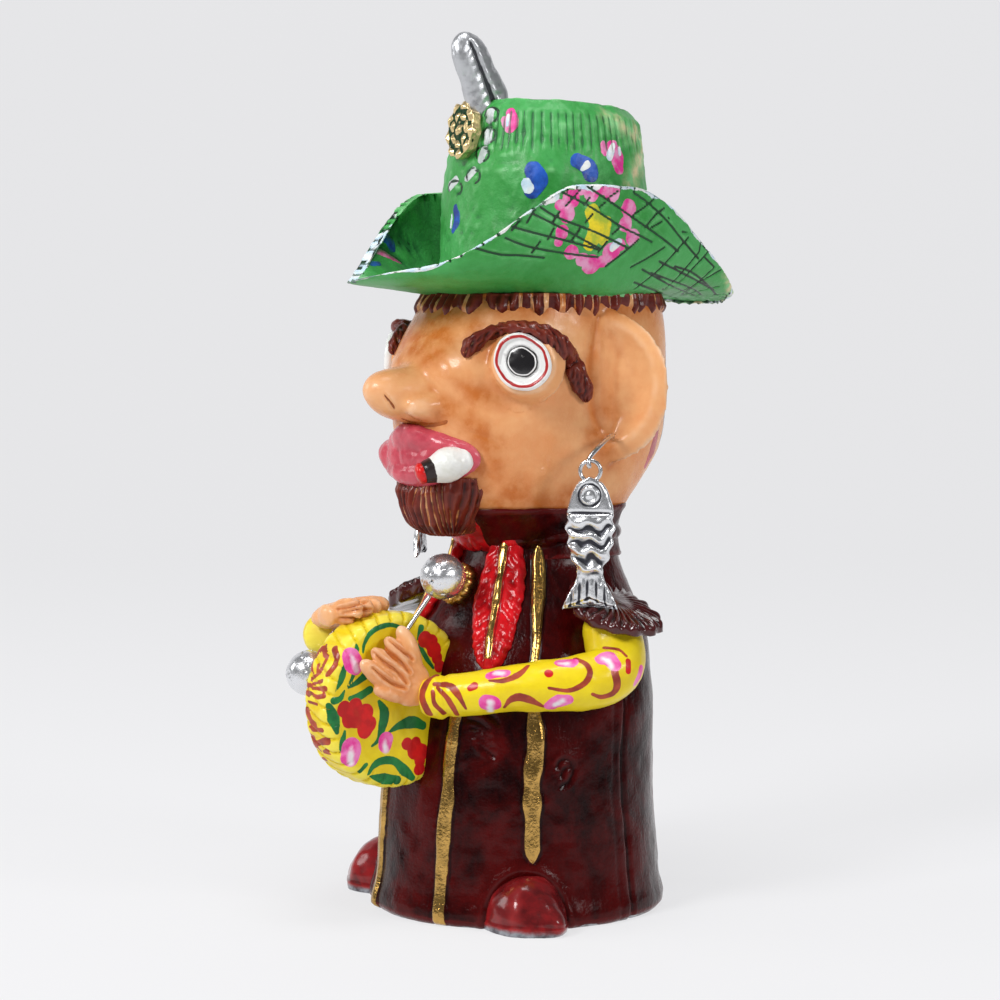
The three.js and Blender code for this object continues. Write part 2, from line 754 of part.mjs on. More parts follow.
function brim() {
  const shares = [-0.3, 0.2, 0.55, 1];
  const profile = [
    ...shares.map((share) => [share + 1, 1]),
    [2.02, 0],
    ...shares.toReversed().map((share) => [share + 1, -1]),
  ];
  profile.push(profile[0]);
  const step = 0.01;
  return shaped(turned(profile, 36), (p) => {
    const angle = Math.atan2(p.x, -p.y);
    const share = Math.hypot(p.x, p.y) - 1;
    const middle = brimPoint(angle, share);
    const along = brimPoint(angle, share + step).sub(brimPoint(angle, share - step));
    const around = brimPoint(angle + step, share).sub(brimPoint(angle - step, share));
    const normal = around.cross(along).normalize();
    if (normal.z < 0) normal.negate();
    p.copy(middle.addScaledVector(normal, (p.z * BRIM_THICKNESS) / 2));
  });
}

function rosette() {
  const profile = [
    [0, -SINK - 3],
    [1, -SINK - 3],
    [1, 0],
    [0.86, ROSETTE_THICKNESS * 0.8],
    [0.45, ROSETTE_THICKNESS],
    [0, ROSETTE_THICKNESS * 0.7],
  ];
  const badge = shaped(turned(profile, ROSETTE_PETALS * 2), (p) => {
    const petal = isOdd(p, ROSETTE_PETALS) ? 0.92 : 1;
    p.x *= ROSETTE_RADIUS * petal;
    p.y *= ROSETTE_RADIUS * petal;
  });
  return aimed(badge, FRONT_VECTOR.clone().setZ(0.12), crownPoint(0, CROWN_TOP - ROSETTE_RADIUS - 1, 1));
}

function feather() {
  const base = crownPoint(0, CROWN_TOP, 1).setZ(CROWN_TOP - 10);
  const points = [
    base,
    base.clone().add(new THREE.Vector3(0, 0, 9)),
    base.clone().setZ(FEATHER_TOP - 1).add(new THREE.Vector3(0, -10, 0)),
  ];
  const size = (share) => {
    const tip = Math.sqrt(1 - clamp((share - 0.8) / 0.2, 0, 1) ** 2 * 0.85);
    return [0.5 * lerp(FEATHER_WIDTH, 0.56 * FEATHER_WIDTH, share) * tip, 0.5 * FEATHER_THICKNESS * tip];
  };
  return bent(points, size, { sides: 8, steps: 6, wide: FRONT_VECTOR });
}

// Earrings

function fishTop(side) {
  return EAR_HOLE - FISH_DROPS[sideName(side)];
}

// The wire leaves the hole at the ear's foot and bends forward and out to the fish's loop.
function earWirePoints(side) {
  const hole = atHead(side * 36, -2, EAR_HOLE);
  const loopTop = new THREE.Vector3(side * FISH_OUT, -FISH_FORWARD, fishTop(side) + 2 * LOOP_RADIUS);
  return [
    hole,
    hole.clone().add(new THREE.Vector3(side * 5, -4, 2.2)),
    hole.clone().lerp(loopTop, 0.75).add(new THREE.Vector3(side * 1.2, 0, 2.4)),
    loopTop.clone().add(new THREE.Vector3(0, 0, WIRE_RADIUS + LOOP_WIRE_RADIUS + FIT_GAP)),
  ];
}

function wireTube(points, radius) {
  return bent(points, () => [radius, radius], { sides: 6, steps: 8 });
}

// Turns what hangs on a loop to face half forward, and places it with the loop's centre at its height.
function hung(geometry, side) {
  const height = fishTop(side) + LOOP_RADIUS;
  return geometry.rotateZ(degToRad(side * EYE_TURN)).translate(side * FISH_OUT, -FISH_FORWARD, height);
}

function fishLoop(wireRadius) {
  return new THREE.TorusGeometry(LOOP_RADIUS, wireRadius, 5, 10).rotateX(Math.PI / 2);
}

// The fish hangs head up: half widths down its length from the snout to the forked tail.
function fishBody() {
  const outline = [
    [0.34, 0],
    [0.7, 0.09],
    [0.95, 0.24],
    [1, 0.4],
    [0.84, 0.58],
    [0.5, 0.72],
    [0.62, 0.8],
  ];
  const half = FISH_WIDTH / 2;
  const edge = (rows, side) =>
    rows.map(([wide, down]) => new THREE.Vector2(side * wide * half, -down * FISH_LENGTH));
  const shape = new THREE.Shape();
  shape.moveTo(-outline[0][0] * half, 0);
  shape.splineThru(edge(outline.slice(1), -1));
  shape.lineTo(-FISH_TAIL_WIDTH / 2, -FISH_LENGTH);
  shape.lineTo(0, -0.93 * FISH_LENGTH);
  shape.lineTo(FISH_TAIL_WIDTH / 2, -FISH_LENGTH);
  const back = edge(outline.toReversed(), 1);
  shape.lineTo(back[0].x, back[0].y);
  shape.splineThru(back.slice(1));
  const plate = new THREE.ExtrudeGeometry(shape, {
    depth: 0.4 * FISH_THICKNESS,
    bevelEnabled: true,
    bevelThickness: 0.3 * FISH_THICKNESS,
    bevelSize: 0.9,
    bevelOffset: -0.9,
    bevelSegments: 1,
    curveSegments: 1,
  });
  plate.translate(0, -LOOP_RADIUS + 2 * LOOP_WIRE_RADIUS, -0.2 * FISH_THICKNESS);
  return plate.rotateX(Math.PI / 2);
}

// Assembly

const drummer = new THREE.Group();

function add(name, solid, color, roughness, metalness) {
  const material = new THREE.MeshStandardMaterial({ color, roughness, metalness });
  const mesh = new THREE.Mesh(toGeometry(solid), material);
  mesh.name = name;
  drummer.add(mesh);
}

const handPoses = {
  left: { reach: new THREE.Vector3(-5, -11.5, 17), out: new THREE.Vector3(1, -0.1, 0.15) },
  right: { reach: new THREE.Vector3(22, 11, 6), out: new THREE.Vector3(-0.25, -0.1, 1) },
};

const forms = [robe(), collar(), knot(), medallion(), drum(), headBody(), nose(), ...mouth(), smokingRoll()];
forms.push(beard(), hair(), crown(), brim(), rosette(), feather());
for (const side of [-1, 1]) {
  forms.push(...robeStrips(side), foot(side), tail(side), shoulderCap(side));
  forms.push(eye(side), brow(side), nostril(side));
}
const solids = forms.map(toSolid);
for (const side of [-1, 1]) {
  const name = sideName(side);
  const { reach, out } = handPoses[name];
  solids.push(toSolid(sleeve(side, wrists[name])));
  solids.push(...hand(wrists[name], reach, out, side).map(toSolid));
  solids.push(ear(side));
}
let figure = solids.reduce((whole, next) => whole.add(next));

for (const side of [-1, 1]) {
  const name = sideName(side);
  const [top, end] = rodPoints(sticks[name]);
  const beyond = end.clone().add(end.clone().sub(top).setLength(FIT_GAP));
  figure = figure.subtract(toSolid(straightRod(top, beyond, ROD_RADIUS + FIT_GAP)));
  const wire = earWirePoints(side);
  figure = figure.subtract(toSolid(wireTube(wire, WIRE_RADIUS + FIT_GAP)));
  add("drumstick_rod_" + name, toSolid(straightRod(top, end, ROD_RADIUS)), 0xb9bcc0, 0.4, 1);
  const ball = ellipsoid(sticks[name].ball, Array(3).fill(BALL_RADIUS));
  add("drumstick_ball_" + name, toSolid(ball), 0xc4c8cc, 0.4, 1);
  add("ear_wire_" + name, toSolid(wireTube(wire, WIRE_RADIUS)), 0xb9bcc0, 0.4, 1);
  add("fish_loop_" + name, toSolid(hung(fishLoop(LOOP_WIRE_RADIUS), side)), 0xb9bcc0, 0.4, 1);
  const loopRoom = toSolid(hung(fishLoop(LOOP_WIRE_RADIUS + FIT_GAP), side));
  add("fish_" + name, toSolid(hung(fishBody(), side)).subtract(loopRoom), 0xc4c8cc, 0.4, 1);
}

const below = new THREE.BoxGeometry(4 * ROBE_RADIUS, 4 * ROBE_RADIUS, 2 * FOOT_HEIGHT);
below.translate(0, 0, -FOOT_HEIGHT);
figure = figure.subtract(toSolid(below));
add("figure", figure, 0x5a1f1c, 0.25, 0);

export default drummer;
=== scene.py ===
import math
from itertools import product

import bpy
import numpy as np
from bpy.props import FloatProperty, FloatVectorProperty, PointerProperty
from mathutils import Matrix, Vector
from mathutils.bvhtree import BVHTree


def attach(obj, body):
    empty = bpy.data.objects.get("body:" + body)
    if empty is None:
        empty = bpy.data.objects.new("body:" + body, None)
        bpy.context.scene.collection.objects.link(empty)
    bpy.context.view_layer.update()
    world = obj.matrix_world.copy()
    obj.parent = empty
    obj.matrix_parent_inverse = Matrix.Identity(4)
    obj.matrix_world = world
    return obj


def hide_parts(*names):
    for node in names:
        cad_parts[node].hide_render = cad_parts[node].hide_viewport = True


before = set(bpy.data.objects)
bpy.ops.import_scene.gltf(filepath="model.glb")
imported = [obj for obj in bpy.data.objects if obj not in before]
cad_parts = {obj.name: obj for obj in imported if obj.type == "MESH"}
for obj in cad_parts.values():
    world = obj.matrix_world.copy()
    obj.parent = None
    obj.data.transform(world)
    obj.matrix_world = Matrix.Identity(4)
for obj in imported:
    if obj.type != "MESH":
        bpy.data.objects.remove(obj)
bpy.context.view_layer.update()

bl_info = {
    "name": "Ceramic drummer figurine",
    "version": (1, 0, 0),
    "blender": (4, 5, 0),
    "location": "View3D > Sidebar > Figurine",
    "description": "Hand-painted ceramic drummer with drum, hat and fish earrings",
    "category": "Add Mesh",
}

MM = 0.001

# The camera, in mm, and its 1000 x 1000 view. Painted and scored marks are placed by their points there.
EYE = np.array([802.1, -604.4, 209.8])
VIEW_ANGLE = math.radians(53)
VIEW_MIDDLE = (518, 297)
VIEW_DISTANCE = 2911
VIEW_TARGET = (-3.7, -5.0, 139.7)
LENS = 104.8

# Shapes, in mm. They repeat the named sizes of the solid model.
ROBE_HEIGHT = 133
ROBE_LEAN = 9
ROBE_PROFILE = [[0, 1], [0.15, 0.965], [0.35, 0.925], [0.53, 0.891], [0.675, 0.836], [0.79, 0.705],
                [0.89, 0.565], [1, 0.5]]
INNER_STRIP, OUTER_STRIP = 22, 59  # degrees from the front
STRIPS = [(INNER_STRIP, 0, 0.62), (OUTER_STRIP, 22, 0.96)]  # with the lower end, and the upper as a share
FAINT_SEAM = 97
SEAMS = [FAINT_SEAM, 103, 141, 147, 180]
SHOE_RISE = 56  # degrees at which the robe's hem lifts over a shoe
COLLAR_HEIGHT = 128.8
DRUM_CENTRE = np.array([0, -55, 75.0])
HEAD_BACK = 10
HEAD_HEIGHT = 88
HEAD_SECTIONS = [[-0.08, 25, 29, 23.5], [0.055, 30, 42, 25], [0.135, 32.5, 48, 31.5], [0.26, 34.5, 53, 41],
                 [0.35, 35, 55, 45], [0.6, 36, 57, 45], [0.74, 35.5, 49, 44.5], [0.86, 34.5, 42, 43],
                 [0.95, 33, 36, 36], [1, 30, 31, 32]]
EYE_HEIGHT = 188.5
LIP_HEIGHT = 156
NOSE_HEIGHT = 178
HAT_BACK = 10.8
CROWN_BASE = 210
CROWN_HEIGHT = 67
CROWN_SECTIONS = [[0, 35.5, 36.5, 36], [0.08, 35.5, 36, 35.5], [0.6, 34.5, 33, 35], [0.92, 31.5, 28.5, 34],
                  [0.97, 30.5, 27, 32.5], [1, 26, 22, 28]]
FISH_TOPS = {1: 149, -1: 160}
FAR = 9.0  # a gap in mm at which a mark has no effect
HEAD_SQUARENESS = 2.3
CROWN_SQUARENESS = 2.15
BRIM_REACH = (46, 73, 75)  # to the side, front and back
BRIM_DROOP = 6.2


# Numbers and noise


def lerp(a, b, t):
    return a + (b - a) * t


def ramp(t, low, high):
    t = np.clip((t - low) / (high - low), 0, 1)
    return t * t * (3 - 2 * t)


def bell(t):
    return np.exp(-t * t)


def lumps(points, size, seed):
    """Smooth noise from -1 to 1 with bumps of about the given size."""
    grid = np.random.default_rng(seed).uniform(-1, 1, (24, 24, 24))
    place = points / size
    low = np.floor(place).astype(int)
    t = place - low
    t = t * t * (3 - 2 * t)
    total = 0
    for corner in product((0, 1), repeat=3):
        weight = np.prod(np.where(corner, t, 1 - t), axis=-1)
        x, y, z = np.moveaxis((low + corner) % 24, -1, 0)
        total = total + weight * grid[x, y, z]
    return total


def hand_made(points, seed, size, height):
    """The unevenness that fingers leave in clay."""
    rise = height * lumps(points, size, seed) + 0.35 * height * lumps(points, size / 3, seed + 1)
    return rise + 0.1 * height * lumps(points, size / 9, seed + 2)


def table_at(rows, share, blur=0.035):
    """Values of a table's columns at a share of the height, with its corners rounded."""
    rows = np.asarray(rows, float)
    near = [share + step for step in np.linspace(-blur, blur, 7)]
    return [np.mean([np.interp(s, rows[:, 0], column) for s in near], axis=0) for column in rows.T[1:]]


def section_radius(sizes, angle, squareness):
    half, front, back = sizes
    reach = np.where(np.cos(angle) > 0, front, back)
    across = np.abs(np.sin(angle) / half) ** squareness
    return (across + np.abs(np.cos(angle) / reach) ** squareness) ** (-1 / squareness)


def stacked(*parts):
    return np.stack(np.broadcast_arrays(*parts), axis=-1)


def disc(out, ring, up):
    """Points of a disc round +Z: distance out, angle and height."""
    return stacked(out * np.sin(ring), -out * np.cos(ring), up)


def spun(points, turn):
    """Points turned about the upright axis."""
    x, y, z = np.moveaxis(points, -1, 0)
    return stacked(x * math.cos(turn) - y * math.sin(turn), x * math.sin(turn) + y * math.cos(turn), z)


def on_corners(values, shape, low=0.0, top=0.0):
    """Values for the corners of a shell: those of its rings, then of its two end points."""
    return np.append(np.broadcast_to(values, shape).ravel(), [low, top])


def around(angle, distance, height, back=0.0):
    """Points beside an upright axis: angle from the front, distance out, height."""
    return stacked(distance * np.sin(angle), back - distance * np.cos(angle), height).astype(float)


def unit(vector):
    vector = np.asarray(vector, float)
    return vector / np.linalg.norm(vector, axis=-1, keepdims=True)


# Forms


class Form:
    """Corners in mm and the faces between them. A face of three corners repeats its last one."""

    def __init__(self, corners, faces):
        self.corners = np.asarray(corners, float)
        self.faces = np.asarray(faces, int)
        a, b, c, d = (self.corners[self.faces[:, k]] for k in range(4))
        if np.sum(a * np.cross(b, c)) + np.sum(a * np.cross(c, d)) < 0:
            self.faces = self.flipped(self.faces)

    @staticmethod
    def flipped(faces):
        triangle = faces[:, 2] == faces[:, 3]
        turned = faces[:, ::-1].copy()
        turned[triangle] = faces[triangle][:, [1, 0, 2, 2]]
        return turned

    def normals(self):
        a, b, c, d = (self.corners[self.faces[:, k]] for k in range(4))
        across = np.cross(c - a, d - b)
        total = np.zeros_like(self.corners)
        for k in range(4):
            for axis in range(3):
                total[:, axis] += np.bincount(self.faces[:, k], across[:, axis], len(total))
        length = np.linalg.norm(total, axis=1, keepdims=True)
        return total / np.where(length > 0, length, 1)

    def blurred(self, values, rounds=1):
        values = values.reshape(len(self.corners), -1).astype(float)
        a = self.faces.ravel()
        b = np.roll(self.faces, -1, axis=1).ravel()
        both = np.concatenate([a, b])
        other = np.concatenate([b, a])
        count = np.maximum(np.bincount(both, minlength=len(values)), 1)
        for _ in range(rounds):
            for k in range(values.shape[1]):
                mean = np.bincount(both, values[other, k], len(values)) / count
                values[:, k] = 0.4 * values[:, k] + 0.6 * mean
        return values

    def push(self, amount):
        self.corners = self.corners + self.normals() * np.asarray(amount)[:, None]
        return self

    def from_front(self, back):
        """Each corner's angle from the front in degrees, left and right alike."""
        return np.abs(np.degrees(np.arctan2(self.corners[:, 0], back - self.corners[:, 1])))

    def knead(self, seed, size, height):
        return self.push(hand_made(self.corners, seed, size, height))

    def relaxed(self, rounds):
        self.corners = self.blurred(self.corners, rounds)
        return self

    def hollow(self):
        """How far each corner lies under its surroundings."""
        edges = self.corners[self.faces[:, 0]] - self.corners[self.faces[:, 1]]
        rounds = int(np.clip(1.6 / np.median(np.linalg.norm(edges, axis=1)) ** 2, 4, 36))
        depth = np.sum((self.blurred(self.corners, rounds) - self.corners) * self.normals(), axis=1)
        return self.blurred(depth, 1)[:, 0]

    def seen(self, places):
        """Corners where sight lines through places of the view first meet the form, with the normals."""
        if not hasattr(self, "tree"):
            self.tree = BVHTree.FromPolygons(self.corners.tolist(), as_polygons(self.faces))
        right = np.array([math.cos(VIEW_ANGLE), math.sin(VIEW_ANGLE), 0])
        ahead = np.array([-math.sin(VIEW_ANGLE), math.cos(VIEW_ANGLE), 0])
        found = []
        for u, v in places:
            line = ahead * VIEW_DISTANCE + right * (u - VIEW_MIDDLE[0])
            line[2] += VIEW_MIDDLE[1] - v
            line = unit(line)
            place, normal, _, _ = self.tree.ray_cast(Vector(EYE), Vector(line))
            if place is None:
                middle = self.corners.mean(axis=0)
                near = EYE + line * np.dot(middle - EYE, line)
                place, normal, _, _ = self.tree.find_nearest(Vector(near))
            found.append((np.array(place), np.array(normal)))
        return np.array([p for p, _ in found]), np.array([n for _, n in found])

    def gap(self, marks):
        """Distance in mm to the nearest mark's edge, below 0 inside. A mark is half widths and a path."""
        nearest = np.full(len(self.corners), FAR)
        normals = self.normals()
        for widths, path, facing in marks:
            widths = np.atleast_1d(widths).astype(float)
            sizes = np.interp(np.linspace(0, 1, len(path)), np.linspace(0, 1, len(widths)), widths)
            if len(path) == 1:
                path, sizes, facing = np.repeat(path, 2, 0), np.repeat(sizes, 2), np.repeat(facing, 2, 0)
            for k in range(len(path) - 1):
                a, b = path[k], path[k + 1]
                reach = np.linalg.norm(b - a) / 2 + sizes.max() + 3
                close = np.flatnonzero(np.sum((self.corners - (a + b) / 2) ** 2, axis=1) < reach * reach)
                if facing is not None:
                    close = close[normals[close] @ facing[k] > -0.1]
                step = b - a
                along = np.clip((self.corners[close] - a) @ step / max(step @ step, 1e-9), 0, 1)
                away = np.linalg.norm(self.corners[close] - a - along[:, None] * step, axis=1)
                nearest[close] = np.minimum(nearest[close], away - lerp(sizes[k], sizes[k + 1], along))
        return nearest

    def marks(self, rows):
        """The gap to marks given as half widths and places of the view."""
        found = []
        for widths, places in rows:
            if len(places) > 2:
                places = curve([(*place, 0) for place in places], 3 * len(places))[:, :2]
            found.append((widths, *self.seen(places)))
        return self.gap(found)

    def twins(self, limit):
        """Corners below a limit on X, and the corners nearest to their mirror images."""
        tree = BVHTree.FromPolygons(self.corners.tolist(), as_polygons(self.faces))
        far = np.flatnonzero(self.corners[:, 0] < limit)
        images = [Vector((-x, y, z)) for x, y, z in self.corners[far]]
        return far, [self.faces[tree.find_nearest(image)[2]][0] for image in images]


def as_polygons(faces):
    return [row[:3] if row[2] == row[3] else row for row in faces.tolist()]


def turns(count):
    return np.linspace(-math.pi, math.pi, count, endpoint=False)[None, :]


def rows_of(count, low=0.0, high=1.0):
    return np.linspace(low, high, count)[:, None]


def shell(points):
    """A closed form from rows of rings, with both ends closed."""
    count, columns = points.shape[:2]
    corners = np.vstack([points.reshape(-1, 3), points[0].mean(axis=0), points[-1].mean(axis=0)])
    start = np.arange(count - 1)[:, None] * columns
    here = np.arange(columns)[None, :]
    after = (here + 1) % columns
    quads = stacked(start + here, start + after, start + columns + after, start + columns + here)
    low = stacked(count * columns, after[0], here[0], here[0])
    top = (count - 1) * columns
    high = stacked(count * columns + 1, top + here[0], top + after[0], top + after[0])
    return Form(corners, np.vstack([quads.reshape(-1, 4), low, high]))


def out_and_back(face, edge, end, reach=1.0, start=0.02):
    """Distances from a disc's middle to its rim, then from the rim to an end below."""
    return np.concatenate([np.linspace(start, reach, face), np.linspace(reach, end, edge)])[:, None]


def blunted(share, start, length, power):
    """A width that stays at 1 up to a start, then rounds off over a length."""
    return np.sqrt(np.clip(1 - np.clip((share - start) / length, 0, 1) ** power * 0.97, 0, 1))


def egg(radii, rows, columns, centre=(0, 0, 0)):
    polar = rows_of(rows, 0.02, math.pi - 0.02)
    ring = turns(columns)
    return disc(np.sin(polar), ring, -np.cos(polar)) * np.asarray(radii) + np.asarray(centre)


def curve(points, count):
    """A smooth curve through points, sampled at even steps."""
    points = np.asarray(points, float)
    padded = np.vstack([2 * points[0] - points[1], points, 2 * points[-1] - points[-2]])
    fine = []
    for k in range(1, len(padded) - 2):
        p0, p1, p2, p3 = padded[k - 1:k + 3]
        t = np.linspace(0, 1, 40, endpoint=False)[:, None]
        fine.append(0.5 * (2 * p1 + (p2 - p0) * t + (2 * p0 - 5 * p1 + 4 * p2 - p3) * t ** 2
                           + (3 * p1 - p0 - 3 * p2 + p3) * t ** 3))
    fine = np.vstack(fine + [points[-1:]])
    length = np.concatenate([[0], np.cumsum(np.linalg.norm(np.diff(fine, axis=0), axis=1))])
    share = np.linspace(0, length[-1], count)
    return np.stack([np.interp(share, length, fine[:, k]) for k in range(3)], -1)


def swept(points, size_at, rows, columns, wide=(0, 0, 1), change=None):
    """A rod bent along a curve; size_at gives its radius, or half width and half thickness, at a share."""
    middle = curve(points, rows)
    tangent = unit(np.gradient(middle, axis=0))
    thin = unit(np.cross(tangent, np.broadcast_to(np.asarray(wide, float), tangent.shape)))
    across = unit(np.cross(thin, tangent))
    share = rows_of(rows)
    ring = turns(columns)
    sizes = size_at(share)
    half_wide, half_thick = sizes if isinstance(sizes, tuple) else (sizes, sizes)
    x, y = half_wide * np.sin(ring), half_thick * np.cos(ring)
    if change:
        x, y = change(share, ring, x, y)
    return middle[:, None, :] + across[:, None, :] * x[..., None] + thin[:, None, :] * y[..., None]


def round_ends(share, part=0.15, least=0.02):
    nearest = np.clip(np.minimum(share, 1 - share) / part, 0, 1)
    return lerp(least, 1, np.sqrt(1 - (1 - nearest) ** 2))


def aimed(points, direction, centre=(0, 0, 0)):
    """Turns points modelled along +Z so that +Z points along a direction, then moves them."""
    turn = Vector((0, 0, 1)).rotation_difference(Vector(direction)).to_matrix()
    return points @ np.array(turn).T + np.asarray(centre, float)


def fused(parts, voxel, smooth=2):
    """One skin round overlapping closed forms."""
    corners, faces, start = [], [], 0
    for part in parts:
        part = part if isinstance(part, Form) else shell(part)
        corners.append(part.corners)
        faces.append(part.faces + start)
        start += len(part.corners)
    mesh = bpy.data.meshes.new("clay")
    mesh.from_pydata((np.vstack(corners) * MM).tolist(), [], as_polygons(np.vstack(faces)))
    clay = bpy.data.objects.new("clay", mesh)
    bpy.context.scene.collection.objects.link(clay)
    remesh = clay.modifiers.new("skin", "REMESH")
    remesh.mode = "VOXEL"
    remesh.voxel_size = voxel * MM
    result = clay.evaluated_get(bpy.context.evaluated_depsgraph_get()).to_mesh()
    if len(result.polygons) < 100:
        raise RuntimeError("the clay forms did not fuse")
    places = np.empty(len(result.vertices) * 3)
    result.vertices.foreach_get("co", places)
    loops = np.empty(len(result.loops), int)
    result.loops.foreach_get("vertex_index", loops)
    form = Form(places.reshape(-1, 3) / MM, loops.reshape(-1, 4))
    clay.to_mesh_clear()
    bpy.data.objects.remove(clay)
    bpy.data.meshes.remove(mesh)
    return form.relaxed(smooth)


def piece(name, form, finish, paints=None, replaces="figure"):
    """Adds a piece of the figurine. Paints are gaps in mm to each painted area's edge."""
    mesh = bpy.data.meshes.new(name)
    mesh.from_pydata((form.corners * MM).tolist(), [], as_polygons(form.faces))
    values = {"hollow": form.hollow()}
    for paint, gap in (paints or {}).items():
        values[paint] = np.clip(5 - gap, 0, 10)
    for key, data in values.items():
        mesh.attributes.new(key, "FLOAT", "POINT").data.foreach_set("value", data.astype(np.float32))
    mesh.shade_smooth()
    made = bpy.data.objects.new(name, mesh)
    bpy.context.scene.collection.objects.link(made)
    mesh.materials.append(finish)
    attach(made, "root")
    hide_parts(replaces)
    return made


# Materials

WHITE = (0.86, 0.86, 0.84)
BLACK = (0.008, 0.007, 0.008)
CREAM = (0.74, 0.62, 0.36)
# The middle wobble is that of the painted shade on the skin.
FADED, SOFT_SHADE, WORN = 0.7, 1.2, 2.6  # how far a paint's edge wavers where it is not a plain stroke
SHARP = 0.1
COAT_SHARE = 0.45  # varnish let through, so that it leaves no grey veil on dark paint
EDGES = {FADED: 0.8, SOFT_SHADE: 4.0, WORN: 4.0}  # how softly such an edge ends, in mm


def sum_of(operation, flipped=False):
    def add_node(self, other):
        pair = (other, self) if flipped else (self, other)
        return self.maker.node("ShaderNodeMath", {"operation": operation}, dict(enumerate(pair)))
    return add_node


class Wire:
    """A shader value that takes part in sums. Every sum adds its Math node."""

    def __init__(self, maker, socket):
        self.maker = maker
        self.socket = socket

    __add__, __radd__ = sum_of("ADD"), sum_of("ADD", True)
    __sub__, __rsub__ = sum_of("SUBTRACT"), sum_of("SUBTRACT", True)
    __mul__, __rmul__ = sum_of("MULTIPLY"), sum_of("MULTIPLY", True)
    most = sum_of("MAXIMUM")

    def ramp(self, low, high):
        values = {"Value": self, "From Min": low, "From Max": high, "To Min": 0.0, "To Max": 1.0}
        return self.maker.node("ShaderNodeMapRange", {"interpolation_type": "SMOOTHSTEP"}, values)


class Maker:
    """Builds one material round a Principled shader."""

    def __init__(self, name):
        self.material = bpy.data.materials.new(name)
        self.material.use_nodes = True
        self.tree = self.material.node_tree
        self.tree.nodes.clear()
        self.shader = self.tree.nodes.new("ShaderNodeBsdfPrincipled")
        output = self.tree.nodes.new("ShaderNodeOutputMaterial")
        self.tree.links.new(self.shader.outputs[0], output.inputs[0])
        self.place = self.node("ShaderNodeTexCoord", {}, {}, "Object")

    def node(self, kind, settings, values, output=0):
        """Adds a node: its settings first, then the values or links of its sockets."""
        node = self.tree.nodes.new(kind)
        for key, value in settings.items():
            setattr(node, key, value)
        for key, value in values.items():
            if isinstance(value, Wire):
                self.tree.links.new(value.socket, node.inputs[key])
            else:
                node.inputs[key].default_value = value
        return Wire(self, node.outputs[output])

    def set(self, **values):
        for key, value in values.items():
            socket = self.shader.inputs[key.replace("_", " ")]
            if isinstance(value, Wire):
                self.tree.links.new(value.socket, socket)
            else:
                socket.default_value = value

    def paint(self, colour):
        return (*colour, 1.0) if not isinstance(colour, Wire) else colour

    def mix(self, factor, first, second):
        values = {0: factor, 6: self.paint(first), 7: self.paint(second)}
        return self.node("ShaderNodeMix", {"data_type": "RGBA", "blend_type": "MIX"}, values, 2)

    def noise(self, size, detail=3.0, stretch=(1, 1, 1), roughness=0.55, distortion=0.0):
        """Noise from 0 to 1 with features of about the given size in mm."""
        place = self.node("ShaderNodeVectorMath", {"operation": "MULTIPLY"}, {0: self.place, 1: stretch})
        values = {"Vector": place, "Scale": 1000 / size / 2, "Detail": detail, "Roughness": roughness,
                  "Distortion": distortion}
        return self.node("ShaderNodeTexNoise", {}, values)

    def attribute(self, name):
        return self.node("ShaderNodeAttribute", {"attribute_name": name}, {}, "Fac")

    def cover(self, name, wobble, edge):
        """1 where a paint lies, with an edge that wavers as a brush's does."""
        inside = self.attribute(name) - 5.0 + (self.noise(1.4, 4.0) - 0.5) * (2.4 * wobble)
        return inside.ramp(-edge, edge)

    def bump(self, height, distance):
        """Relief of a height from 0 to 1, over a distance in mm."""
        return self.node("ShaderNodeBump", {}, {"Strength": 1.0, "Distance": distance * MM, "Height": height})


def clay_paint(name, light, dark, layers=(), patch=18, gloss=0.3, coat=0.5, recess_shade=None, ridge_highlight=None, depth=0.35,
               streak=(1, 1, 1), relief=0.09, amount=1.0, shine=0.2):
    """Brushed paint over clay under varnish, with painted shade in the recesses and painted highlights on the
    ridges. Layers are (attribute, colour, second colour, metal, wobble).
    """
    maker = Maker(name)
    blotch = maker.noise(patch, 5.0, roughness=0.62, distortion=0.6)
    brush = maker.noise(1.6, 4.0, streak, 0.6)
    fine = maker.noise(0.5, 3.0)
    tone = (blotch.ramp(0.36, 0.64) * 0.75 + brush.ramp(0.3, 0.7) * 0.25) * amount
    colour = maker.mix(tone, light, dark)
    metal = None
    rough = gloss + (brush - 0.5) * 0.12 + (blotch - 0.5) * 0.1
    height = brush * 0.6 + fine * 0.4
    hollow = maker.attribute("hollow")
    # Painted highlight: the ridges are lightened towards a paler colour.
    if ridge_highlight:
        ridge = (-1 * hollow + (brush - 0.5) * 0.16).ramp(0.03, 0.03 + depth * 0.6)
        colour = maker.mix(ridge * 0.75, colour, ridge_highlight)
    for attribute, first, second, is_metal, wobble in layers:
        mask = maker.cover(attribute, wobble, EDGES.get(wobble, SHARP))
        mottle = maker.noise(2.6, 4.0).ramp(0.35, 0.65)
        colour = maker.mix(mask, colour, maker.mix(mottle, first, second))
        height = height + mask * 0.35
        if is_metal:
            metal = mask * 0.95 if metal is None else metal.most(mask * 0.95)
        elif metal is not None:
            metal = metal * (1 - mask)
    # Painted shade: the recesses are darkened towards a darker colour.
    if recess_shade:
        recess = (hollow + (fine - 0.5) * 0.05).ramp(0.02, 0.02 + depth * 0.5)
        colour = maker.mix(recess * 0.8, colour, recess_shade)
    maker.set(Base_Color=colour, Roughness=rough, Coat_Weight=coat * COAT_SHARE, Coat_Roughness=0.12,
              Specular_IOR_Level=shine, Normal=maker.bump(height, relief))
    if metal is not None:
        maker.set(Metallic=metal)
    return maker.material


